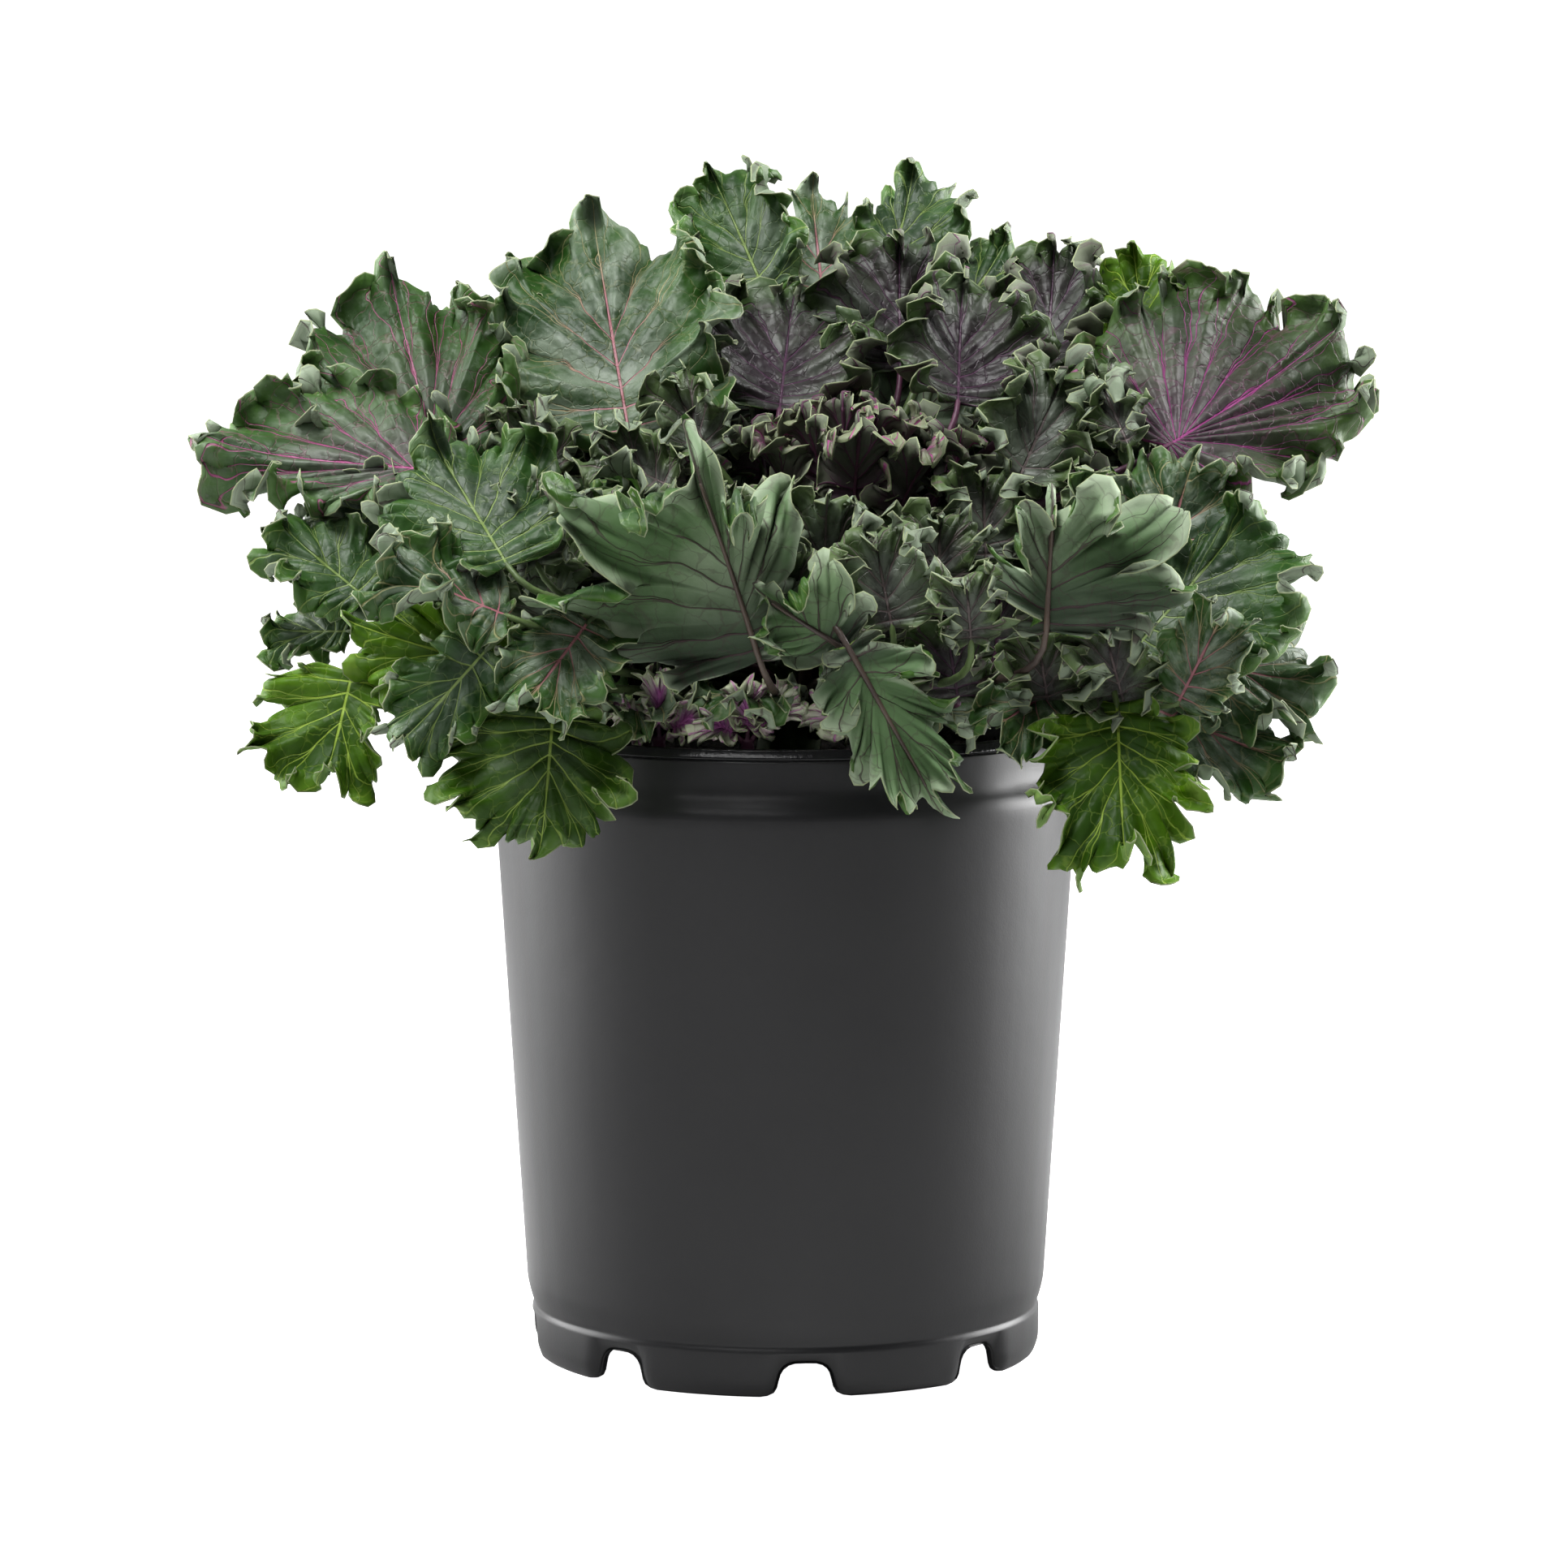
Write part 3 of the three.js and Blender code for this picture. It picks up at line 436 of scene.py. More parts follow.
def blade_frame(one):
    """The midrib is an arc over the straight line from hub to tip."""
    hub, tip, face = (np.array(one[key], float) for key in ("hub", "tip", "face"))
    bend = math.radians(one["bend"])
    along = unit(tip - hub)
    face = unit(face - along * (face @ along))
    half = bend / 2
    return {
        "hub": hub,
        "left": np.cross(face, along),
        "bend": bend,
        "length": np.linalg.norm(tip - hub) * half / math.sin(half),
        "along": along * math.cos(half) - face * math.sin(half),
        "face": face * math.cos(half) + along * math.sin(half),
    }


def waves(seed, side, position):
    """Waves with a crest at each whole position, up and down by turns, each of its own height."""
    def value_at(k):
        return np.where(k % 2 == 0, 1, -1) * (0.6 + 0.8 * draw(seed, k * side))

    before = np.floor(position)
    share = (1 - np.cos(np.pi * (position - before))) / 2
    return value_at(before) * (1 - share) + value_at(before + 1) * share


def small_lobes(seed, side, place):
    """Rounded lobes, one at each whole place, with a narrow notch between each two. Gives how far in the edge
    lies, and how each lobe bends and twists, every one in its own way."""
    number = np.floor(place + 0.5)
    across = place - number
    way = np.where((number % 2 == 0) == (draw(seed + 7, number * side) > 0.12), 1, -1)
    bend = way * (0.5 + 0.5 * draw(seed, number * side)) * np.maximum(np.cos(np.pi * across), 0) ** 0.8
    twist = side * (2 * draw(seed + 50, number * side) - 1) * np.sin(2 * np.pi * across)
    return np.abs(2 * across) ** 2.5, bend, twist


def on_blade(one, base, x, y, width):
    """The points of the bent and cupped blade at flat places x, y, and where its upper side looks there."""
    rounds = (base["bend"] * x / base["length"])[..., None]
    arm = base["length"] / base["bend"]
    point = base["hub"] + base["along"] * np.sin(rounds) * arm + base["face"] * (1 - np.cos(rounds)) * arm
    normal = base["face"] * np.cos(rounds) - base["along"] * np.sin(rounds)
    cup = math.radians(one["cup"]) / width
    tilt = (cup * y)[..., None]
    point = point + base["left"] * np.sin(tilt) / cup + normal * (1 - np.cos(tilt)) / cup
    return point, normal * np.cos(tilt) - base["left"] * np.sin(tilt)


def blade_size(one, base):
    """The mean reach of the blade from its middle, as a share of a large leaf's."""
    return float(np.clip((base["length"] / 2 + sum(one["width"]) / 2) / 2 / LARGE_BLADE, 0.25, 1.1))


def flat_rim(one, base, width, turn):
    """The solids' outline without its lobes: places along the midrib and away from it, and the way along the
    rim to each."""
    theta = np.pi * SPREAD * turn
    middle = CENTRE * base["length"]
    lengthways = np.where(np.cos(theta) > 0, base["length"] - middle, middle + one["back"])
    rim_x = middle + lengthways * np.sign(np.cos(theta)) * np.abs(np.cos(theta)) ** FULLNESS
    rim_y = width * np.sin(theta) ** FULLNESS
    step = np.hypot(np.diff(rim_x, axis=0, prepend=rim_x[:1]), np.diff(rim_y, axis=0, prepend=rim_y[:1]))
    return rim_x, rim_y, np.cumsum(step, axis=0)


def even_turns(one, base):
    """Rays at even steps along the rim."""
    turn = np.linspace(0, 1, 500)[:, None]
    edge = flat_rim(one, base, sum(one["width"]) / 2, turn)[2]
    rays = int(np.clip(round(edge[-1, 0] / RAY_STEP / one["grain"]), 20, 170))
    return np.interp(np.linspace(0, edge[-1, 0], rays + 1), edge[:, 0], turn[:, 0])[:, None]


def half_blade(one, base, side, turn, reach):
    """One side of the middle surface: places (rays, reaches, 3), and its coordinates for the finish. Rays run
    from the midrib to the rim. turn: each ray's place along the rim, 0 at the tip and 1 at the stalk. reach:
    shares of the way from the midrib to the rim."""
    width = one["width"][0 if side > 0 else 1]
    length = base["length"]
    size = blade_size(one, base)
    scale = size**0.6
    seed = one["seed"]
    root = one["rib"] * length * (1 - turn) ** 1.3
    position = turn * one["lobes"]
    fade = 1 - turn**6
    rim_x, rim_y, edge = flat_rim(one, base, width, turn)
    edge = edge / scale
    lobe_place = edge / one["lobe_size"]
    ray = np.hypot(rim_x - root, rim_y)

    # the outline: the solids' lobes, softer, with small lobes and teeth of a fixed size
    inset, bend, twist = small_lobes(seed + 300, side, lobe_place)
    main_inset, main_bend, main_twist = small_lobes(seed + 1200, side, lobe_place / MAIN_LOBE + 0.25)
    lobe = FINE_LOBE * np.cos(2 * np.pi * position)
    notch = (one["cut"] * (0.3 - inset) + MAIN_CUT * one["wild"] ** 1.5 * (0.35 - main_inset)) * scale
    teeth = TOOTH_DEPTH / one["grain"] ** 2 * scale * waves(seed + 600, side, edge / TOOTH)
    spare = SPARE * scale * one["curl"]
    share = reach * (1 + (lobe + (spare + notch + teeth) / ray) * fade * reach**2)
    x = root + (rim_x - root) * share
    y = side * rim_y * share
    point, outward = on_blade(one, base, x, y, width)
    rim = np.hypot(x[:, -1:] - x, y[:, -1:] - y)
    veins = turn * one["veins"]
    pucker = PUCKER * size * (1 - np.cos(2 * np.pi * veins)) * np.sin(np.pi * reach) * np.minimum(rim / 6, 1)
    height = KEPT_RUFFLE * one["ruffle"] * waves(seed, side, position) * fade * reach**3 + pucker
    point = point + outward * height[..., None]

    # the frills: each ray turns up, down and sideways more and more towards the edge
    step = np.diff(point, axis=1)
    far = np.linalg.norm(step, axis=2, keepdims=True)
    forward = step / far
    up = (outward[:, 1:] + outward[:, :-1]) / 2
    up = unit(up - forward * np.sum(up * forward, axis=2, keepdims=True))
    aside = np.cross(forward, up)
    inside = (rim[:, 1:] + rim[:, :-1]) / 2 / scale
    wide = WAVE_ANGLE * waves(seed + 900, side, edge / WAVE) * np.exp(-inside / WAVE_DEPTH)
    main = np.maximum(1 - inside / MAIN_DEPTH / one["wild"], 0)
    wide = wide + MAIN_ANGLE * main_bend * main + TWIST_ANGLE * main_twist * main**2
    fold_depth = FOLD_DEPTH * one["lobe_size"] * one["curl"]
    folds = FOLD_ANGLE * bend * np.maximum(1 - inside / fold_depth, 0)
    turns = TWIST_ANGLE * twist * np.maximum(1 - inside / one["lobe_size"], 0) ** 2
    fine = FINE_ANGLE / one["grain"] * waves(seed + 1500, side, edge / TOOTH / 1.5)
    fine = fine * np.exp(-inside / FINE_DEPTH)
    ease = fade * np.minimum(reach[:, 1:] * 2.5, 1)
    angle = wide + one["curl"] * (folds + turns + fine)
    angle = (MOST_CURL * np.tanh(angle * ease / MOST_CURL))[..., None]
    lean = SIDE_LEAN * waves(seed + 2400, side, lobe_place * 1.3) * np.exp(-inside / LEAN_DEPTH)
    lean = (lean * one["curl"] * ease)[..., None]
    step = far * ((forward * np.cos(lean) + aside * np.sin(lean)) * np.cos(angle) + up * np.sin(angle))
    point = np.concatenate([point[:, :1], point[:, :1] + np.cumsum(step, axis=1)], axis=1)

    spacing = np.hypot(np.gradient(x, axis=0), np.gradient(y, axis=0)) / np.gradient(veins, axis=0)
    flat = np.stack([x, y, np.full_like(x, seed * 40)], axis=-1)
    lobe, reach = np.broadcast_to(veins, x.shape), np.broadcast_to(reach, x.shape)
    return point, {"lobe": lobe, "reach": reach, "spacing": spacing, "rim": rim, "flat": flat}


def point_normals(points, quads):
    """Each point's normal, the mean of the faces round it."""
    across = np.cross(points[quads[:, 2]] - points[quads[:, 0]], points[quads[:, 3]] - points[quads[:, 1]])
    normals = np.zeros_like(points)
    for corner in range(4):
        np.add.at(normals, quads[:, corner], across)
    return unit(normals + 1e-12)


def blade_part(one):
    """A closed blade out of the fine middle surface, thickened to both sides: its points, faces, the slot of
    each face (0 above, 1 below) and its coordinates for the finish."""
    base = blade_frame(one)
    turn = even_turns(one, base)
    rays = len(turn) - 1
    size = blade_size(one, base)
    inner, outer = (2, 6) if size < 0.5 else (3, 7) if size < 0.8 else (4, 8)
    frilled = 0.5 if size < 0.5 else 0.42  # share of the reach that is frilled and has close steps
    calm = np.linspace(0, 1 - frilled, inner + 1)[:-1]
    reach = np.concatenate([calm, np.linspace(1 - frilled, 1, outer + 1)])[None, :]
    rows, columns = rays + 1, inner + outer + 1
    sides = {side: half_blade(one, base, side, turn, reach) for side in (1, -1)}
    index = {1: np.arange(rows * columns).reshape(rows, columns)}
    index[-1] = index[1].copy()  # both sides share the midrib and the ray to the tip
    index[-1][1:, 1:] = rows * columns + np.arange(rays * (columns - 1)).reshape(rays, columns - 1)

    def joined(first, second):
        """Both sides' values, with the shared ones only once."""
        tail = first.shape[2:]
        return np.concatenate([first.reshape(-1, *tail), second[1:, 1:].reshape(-1, *tail)])

    points = joined(sides[1][0], sides[-1][0])
    marks = {name: joined(sides[1][1][name], sides[-1][1][name]) for name in sides[1][1]}
    quads = []
    for side in (1, -1):
        here, after = index[side][:-1], index[side][1:]
        corners = np.stack([here[:, :-1], here[:, 1:], after[:, 1:], after[:, :-1]], axis=-1).reshape(-1, 4)
        quads.append(corners if side > 0 else corners[:, ::-1])
    quads = np.concatenate(quads)
    normals = point_normals(points, quads)
    vein = np.exp(-((marks["lobe"] - np.round(marks["lobe"])) * marks["spacing"] / VEIN_WIDTH) ** 2)
    relief = VEIN_RELIEF * vein * (1 - marks["reach"]) * np.minimum(marks["reach"] * 8, 1)
    count = len(points)
    half = RIM_THICKNESS + (HALF_THICKNESS - RIM_THICKNESS) * np.minimum(marks["rim"] / 3, 1)
    top = points + normals * half[:, None]
    under = points - normals * (half + relief)[:, None]
    left, right = index[1], index[-1]  # the edge goes round as a loop, from the hub over the right side
    loop = np.concatenate([right[-1], right[-2::-1, -1], left[1:, -1], left[-1, -2:0:-1]])
    following = np.roll(loop, -1)
    wall = np.stack([following, loop, loop + count, following + count], axis=-1)
    faces = np.concatenate([quads, wall, quads[:, ::-1] + count])
    slots = np.concatenate([np.zeros(len(quads) + len(wall), int), np.ones(len(quads), int)])
    places = np.concatenate([top, under])
    marks = {name: np.concatenate([values, values]) for name, values in marks.items()}
    return places, faces, slots, marks


# -------- tubes
def bezier(points, count):
    """Points along the curve that four points control."""
    share = np.linspace(0, 1, count)[:, None]
    rest = 1 - share
    a, b, c, d = points
    return a * rest**3 + 3 * b * share * rest**2 + 3 * c * share**2 * rest + d * share**3


def ring_faces(rows, count):
    """Quads between rows of points that run round, and the faces that close both ends."""
    a = np.arange((rows - 1) * count).reshape(-1, count)
    b = np.roll(a, -1, axis=1)
    quads = np.stack([a, b, b + count, a + count], axis=-1).reshape(-1, 4).tolist()
    return [*quads, list(range(count))[::-1], list(range((rows - 1) * count, rows * count))]


def tube(line, radii, sides):
    """The points and faces of a closed tube along a line of points."""
    line = np.asarray(line, float)
    radii = np.asarray(radii, float)
    tangent = unit(np.gradient(line, axis=0))
    normal = np.zeros_like(line)
    start = np.array([0.3, 0.2, 1.0]) if abs(tangent[0][2]) < 0.8 else np.array([1.0, 0.2, 0.1])
    for k in range(len(line)):
        start = start - tangent[k] * (start @ tangent[k])
        start = start / np.linalg.norm(start)
        normal[k] = start
    side = np.cross(tangent, normal)
    angles = np.linspace(0, 2 * np.pi, sides, endpoint=False)
    ring = normal[:, None] * np.cos(angles)[None, :, None] + side[:, None] * np.sin(angles)[None, :, None]
    points = (line[:, None] + ring * radii[:, None, None]).reshape(-1, 3)
    return points, ring_faces(len(line), sides)


def stalk_part(one, root, radius):
    """A stalk from its root to the hub, which goes on under the blade as the midrib."""
    base = blade_frame(one)
    hub = base["hub"]
    outward = hub - root
    span = np.linalg.norm(outward)
    climb = max(0.15 * span, outward[2])
    outward[2] = 0
    start = root + unit(outward) * span * 0.3
    start[2] = root[2] + climb * 0.45 + span * 0.04
    end = hub - base["along"] * span * 0.25
    end[2] = max(end[2], min(hub[2], POT_HEIGHT + 9))  # over the pot's rim
    stalk = bezier([root, start, end, hub], 16)
    share = np.linspace(0.04, 0.86, 12)
    rib, outward = on_blade(one, base, share * base["length"], np.zeros_like(share), one["width"][0])
    rib_radii = radius * 0.36 * (1 - share) ** 0.8 + 0.2
    line = np.concatenate([stalk, rib - outward * (rib_radii * 0.8)[:, None]])
    radii = np.concatenate([np.linspace(radius, radius * 0.42, len(stalk)), rib_radii])
    return tube(line, radii, 7)


# -------- meshes
def placed(name, data):
    """A new object in the scene."""
    item = bpy.data.objects.new(name, data)
    bpy.context.scene.collection.objects.link(item)
    return item


class Piece:
    """Collects parts with their material slots and coordinates, and makes one object of them."""

    def __init__(self, name):
        self.name = name
        self.points, self.faces, self.slots = [], [], []
        self.marks = {"lobe": [], "reach": [], "spacing": [], "rim": [], "flat": []}
        self.materials = []
        self.count = 0

    def slot_of(self, material):
        """The material's slot, a new one when the piece doesn't have it yet."""
        if material not in self.materials:
            self.materials.append(material)
        return self.materials.index(material)

    def add(self, points, faces, slots, marks=None):
        self.points.append(points)
        self.faces += [[int(k) + self.count for k in face] for face in faces]
        self.slots += list(slots)
        for name, values in self.marks.items():
            tail = (3,) if name == "flat" else ()
            values.append(marks[name] if marks else np.zeros((len(points), *tail)))
        self.count += len(points)

    def add_plain(self, points, faces, material):
        self.add(points, faces, [self.slot_of(material)] * len(faces))

    def add_blade(self, one):
        points, faces, slots, marks = blade_part(one)
        top = self.slot_of(leaf_material(one["kind"]))
        under = self.slot_of(under_material(KINDS[one["kind"]]["under"]))
        self.add(points, faces.tolist(), np.where(slots == 0, top, under).tolist(), marks)

    def add_stalk(self, one, root, radius):
        self.add_plain(*stalk_part(one, root, radius), stalk_material(KINDS[one["kind"]]["stalk"]))

    def make(self, slot, replaces, body=BODY):
        """Makes the finished object, riding on the body, and hides the solids that it replaces. slot: not
        used.
        """
        mesh = bpy.data.meshes.new(self.name)
        mesh.from_pydata((np.concatenate(self.points) * MM).tolist(), [], self.faces)
        mesh.polygons.foreach_set("material_index", self.slots)
        mesh.polygons.foreach_set("use_smooth", [True] * len(mesh.polygons))
        for name, values in self.marks.items():
            joined = np.concatenate(values)
            if joined.any():
                kind, key = ("FLOAT_VECTOR", "vector") if name == "flat" else ("FLOAT", "value")
                attribute = mesh.attributes.new(name, kind, "POINT")
                attribute.data.foreach_set(key, joined.astype(np.float32).ravel())
        for material in self.materials:
            mesh.materials.append(material)
        mesh.update()
        piece = placed(self.name, mesh)
        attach(piece, body)
        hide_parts(*replaces)


# -------- materials
class Look:
    """The node tree of a material or a world, with short names for what the finishes use."""

    def __init__(self, owner):
        self.owner = owner
        owner.use_nodes = True
        self.tree = owner.node_tree

    def link(self, value, socket):
        """Feeds a socket with another node's output, a number, a colour as a tuple or a vector as a list."""
        if isinstance(value, bpy.types.NodeSocket):
            self.tree.links.new(value, socket)
        else:
            socket.default_value = (*value, 1) if isinstance(value, tuple) else value

    def node(self, kind, inputs=(), **settings):
        """A new node with its settings and with what feeds its inputs, by their names or places."""
        node = self.tree.nodes.new(kind)
        for name, value in settings.items():
            setattr(node, name, value)
        for place, value in dict(inputs).items():
            self.link(value, node.inputs[place])
        return node

    def mark(self, name):
        """A coordinate that the blades carry."""
        node = self.node("ShaderNodeAttribute", attribute_name=name)
        return node.outputs["Vector" if name == "flat" else "Fac"]

    def split(self, vector):
        return self.node("ShaderNodeSeparateXYZ", {0: vector}).outputs

    def math(self, operation, *values):
        return self.node("ShaderNodeMath", enumerate(values), operation=operation).outputs[0]

    def times(self, first, second):
        return self.math("MULTIPLY", first, second)

    def plus(self, first, second):
        return self.math("ADD", first, second)

    def minus(self, first, second):
        return self.math("SUBTRACT", first, second)

    def scaled(self, value, low, high, to_low=0.0, to_high=1.0):
        """Goes smoothly from to_low to to_high, as the value goes from low to high."""
        inputs = enumerate((value, low, high, to_low, to_high))
        return self.node("ShaderNodeMapRange", inputs, interpolation_type="SMOOTHSTEP").outputs[0]

    def mix(self, share, first, second):
        return self.node("ShaderNodeMix", {0: share, 6: first, 7: second}, data_type="RGBA").outputs[2]

    def noise(self, scale, detail=3.0, vector=None, roughness=0.5):
        if vector is None:
            vector = self.node("ShaderNodeTexCoord").outputs["Object"]
        inputs = {"Vector": vector, "Scale": scale, "Detail": detail, "Roughness": roughness}
        return self.node("ShaderNodeTexNoise", inputs).outputs["Fac"]

    def bump(self, height, distance, strength=1.0, normal=None):
        inputs = {"Height": height, "Distance": distance, "Strength": strength}
        if normal:
            inputs["Normal"] = normal
        return self.node("ShaderNodeBump", inputs).outputs["Normal"]

    def set(self, **sockets):
        """Sets the material's shader, and gives the material."""
        for name, value in sockets.items():
            self.link(value, self.tree.nodes["Principled BSDF"].inputs[name.replace("_", " ")])
        return self.owner


def new_look(name):
    return Look(bpy.data.materials.new(name))


def upper(blade, core, rim, vein, bloom, under="pale", through=0.12, zone=9, net=0.2, gloss=0.4,
          vein_base=None, stalk="green"):
    """An upper side. blade: the two colours of its clouds. core: the colour along the midrib, and its
    strength. rim: the colour of the edge zone, which is zone millimetres wide. vein and vein_base: colour of
    the veins, and of their beginnings. bloom: strength of the pale wax, which also paints sheen.
    under: the kind of underside.
    through: share of light let through. net: strength of the small veins. gloss: strength of the highlights.
    stalk: the kind of stalk."""
    return {**locals(), "vein_base": vein_base or vein}


def lower(blade, core, rim, vein, shade=20):
    """An underside. core: the colour towards the stalk, from shade millimetres on: painted shade on the
    pale and silver undersides, the purple of the base on the dusk and lilac ones.
    """
    return locals()


KINDS = {
    "green": upper(((0.006, 0.034, 0.002), (0.026, 0.085, 0.008)), ((0.03, 0.05, 0.03), 0.3),
          (0.06, 0.14, 0.02), (0.2, 0.28, 0.08), 0.26, through=0.15),
    "bright": upper(((0.03, 0.085, 0.001), (0.09, 0.2, 0.001)), ((0.02, 0.05, 0.01), 0.3),
          (0.12, 0.24, 0.02), (0.36, 0.5, 0.08), 0.05, under="green", through=0.3, net=0.25, gloss=0.25),
    "deep": upper(((0.012, 0.04, 0.001), (0.038, 0.1, 0.002)), ((0.02, 0.04, 0.01), 0.3),
          (0.09, 0.17, 0.03), (0.26, 0.36, 0.08), 0.15, under="green", through=0.2, gloss=0.25),
    "frosted": upper(((0.008, 0.042, 0.003), (0.026, 0.082, 0.008)), ((0.05, 0.055, 0.05), 0.3),
          (0.06, 0.13, 0.03), (0.3, 0.29, 0.14), 0.7, vein_base=(0.34, 0.13, 0.16), through=0.1),
    "fan_grey": upper(((0.018, 0.06, 0.012), (0.042, 0.1, 0.022)), ((0.075, 0.055, 0.062), 0.7),
          (0.07, 0.15, 0.03), (0.4, 0.09, 0.24), 0.38, zone=20, stalk="purple"),
    "fan_green": upper(((0.01, 0.043, 0.005), (0.028, 0.08, 0.01)), ((0.045, 0.035, 0.037), 0.5),
          (0.06, 0.13, 0.025), (0.32, 0.09, 0.18), 0.2, zone=16, stalk="purple"),
    "fan_purple": upper(((0.02, 0.04, 0.012), (0.042, 0.068, 0.022)), ((0.055, 0.03, 0.048), 0.85),
          (0.05, 0.11, 0.016), (0.3, 0.045, 0.21), 0.2, zone=24, stalk="purple"),
    "dark": upper(((0.007, 0.01, 0.005), (0.024, 0.03, 0.016)), ((0.021, 0.012, 0.019), 0.85),
          (0.045, 0.09, 0.018), (0.07, 0.025, 0.06), 0.22, under="dusk", through=0.05, zone=13,
          stalk="purple"),
    "frill": upper(((0.018, 0.036, 0.01), (0.05, 0.085, 0.025)), ((0.035, 0.026, 0.034), 0.8),
          (0.1, 0.15, 0.055), (0.12, 0.09, 0.09), 0.4, through=0.08, zone=11),
    "heart": upper(((0.07, 0.02, 0.055), (0.11, 0.07, 0.085)), ((0.34, 0.015, 0.2), 1.0),
          (0.22, 0.26, 0.15), (0.42, 0.03, 0.27), 0.35, under="dusk", through=0.05, stalk="purple"),
    "lilac": upper(((0.24, 0.24, 0.2), (0.42, 0.4, 0.36)), ((0.28, 0.07, 0.25), 1.0), (0.42, 0.46, 0.32),
          (0.4, 0.12, 0.34), 0.2, under="lilac", through=0.05, stalk="purple"),
}
# the turned and shaded leaves show silver undersides with painted shade towards the stalk, reaching far out on
# the shaded ones
KINDS["turned"] = {**KINDS["green"], "under": "silver", "stalk": "brown"}
KINDS["shaded"] = {**KINDS["green"], "under": "silver_painted_shade", "stalk": "brown"}
# the cores of the pale and silver undersides are painted shade towards the stalk
UNDERSIDES = {
    "pale": lower(((0.06, 0.105, 0.045), (0.19, 0.24, 0.165)), (0.03, 0.042, 0.03), (0.25, 0.29, 0.22),
          (0.05, 0.028, 0.03)),
    "silver": lower(((0.08, 0.14, 0.06), (0.22, 0.29, 0.18)), (0.04, 0.055, 0.04), (0.29, 0.34, 0.25),
          (0.05, 0.022, 0.03), shade=14),
    "silver_painted_shade": lower(((0.07, 0.13, 0.05), (0.22, 0.285, 0.185)), (0.022, 0.032, 0.022),
          (0.29, 0.34, 0.25), (0.05, 0.022, 0.03), shade=44),
    "green": lower(((0.07, 0.14, 0.03), (0.12, 0.21, 0.045)), (0.05, 0.1, 0.03), (0.14, 0.22, 0.07),
          (0.24, 0.34, 0.08)),
    "dusk": lower(((0.06, 0.065, 0.05), (0.13, 0.14, 0.11)), (0.05, 0.02, 0.04), (0.18, 0.21, 0.14),
          (0.12, 0.03, 0.09)),
    "lilac": lower(((0.22, 0.24, 0.18), (0.4, 0.4, 0.34)), (0.22, 0.06, 0.2), (0.4, 0.44, 0.32),
          (0.3, 0.08, 0.26)),
}
STALKS = {
    "green": ((0.10, 0.15, 0.05), (0.05, 0.075, 0.03)),
    "brown": ((0.085, 0.06, 0.045), (0.05, 0.035, 0.03)),
    "purple": ((0.10, 0.03, 0.065), (0.045, 0.02, 0.04)),
}
BLOOM = (0.20, 0.245, 0.185)  # the pale wax, which also paints sheen
MARGIN = (0.27, 0.31, 0.18)  # the thin line along the edge


def vein_mask(look, width, branch_width):
    """1 on the midrib, on the side veins to each lobe and on their two branches."""
    lobe, reach, spacing, flat = (look.mark(name) for name in ("lobe", "reach", "spacing", "flat"))

    def line(distance, far, ends, full):
        """1 near a vein. ends, full: where it ends and where it is full, at its beginning and far out."""
        return look.scaled(distance, look.scaled(reach, 0, far, *ends), look.scaled(reach, 0, far, *full))

    sway = look.times(look.minus(look.noise(0.05, 2, flat), 0.5), 0.8)
    bowed = look.plus(lobe, sway)
    aside = look.math("ABSOLUTE", look.minus(bowed, look.math("ROUND", bowed)))
    side = line(look.times(aside, spacing), 1, (width, 0.2), (width * 0.45, 0.05))
    branch = look.math("ABSOLUTE", look.minus(aside, look.scaled(reach, 0.3, 1.0, 0.0, 0.3)))
    branch = look.scaled(look.times(branch, spacing), branch_width, branch_width * 0.3, 0, 0.8)
    branch = look.times(branch, look.scaled(reach, 0.3, 0.4))
    rib = line(look.math("ABSOLUTE", look.split(flat)["Y"]), 0.9, (width * 1.3, 0.3), (width * 0.6, 0.1))
    return look.math("MAXIMUM", look.math("MAXIMUM", side, branch), rib)


def net_mask(look, cell, width):
    """The fine net between the veins: the wavy borders of cells on the flat leaf."""
    flat = look.mark("flat")
    waver = look.node("ShaderNodeTexNoise", {"Vector": flat, "Scale": 0.25}).outputs["Color"]
    place = look.node("ShaderNodeVectorMath", {0: waver, 1: [5, 5, 0], 2: flat}, operation="MULTIPLY_ADD")
    inputs = {"Vector": place.outputs[0], "Scale": 1 / cell, "Randomness": 0.9}
    cells = look.node("ShaderNodeTexVoronoi", inputs, feature="DISTANCE_TO_EDGE")
    return look.scaled(cells.outputs["Distance"], width, 0.0)


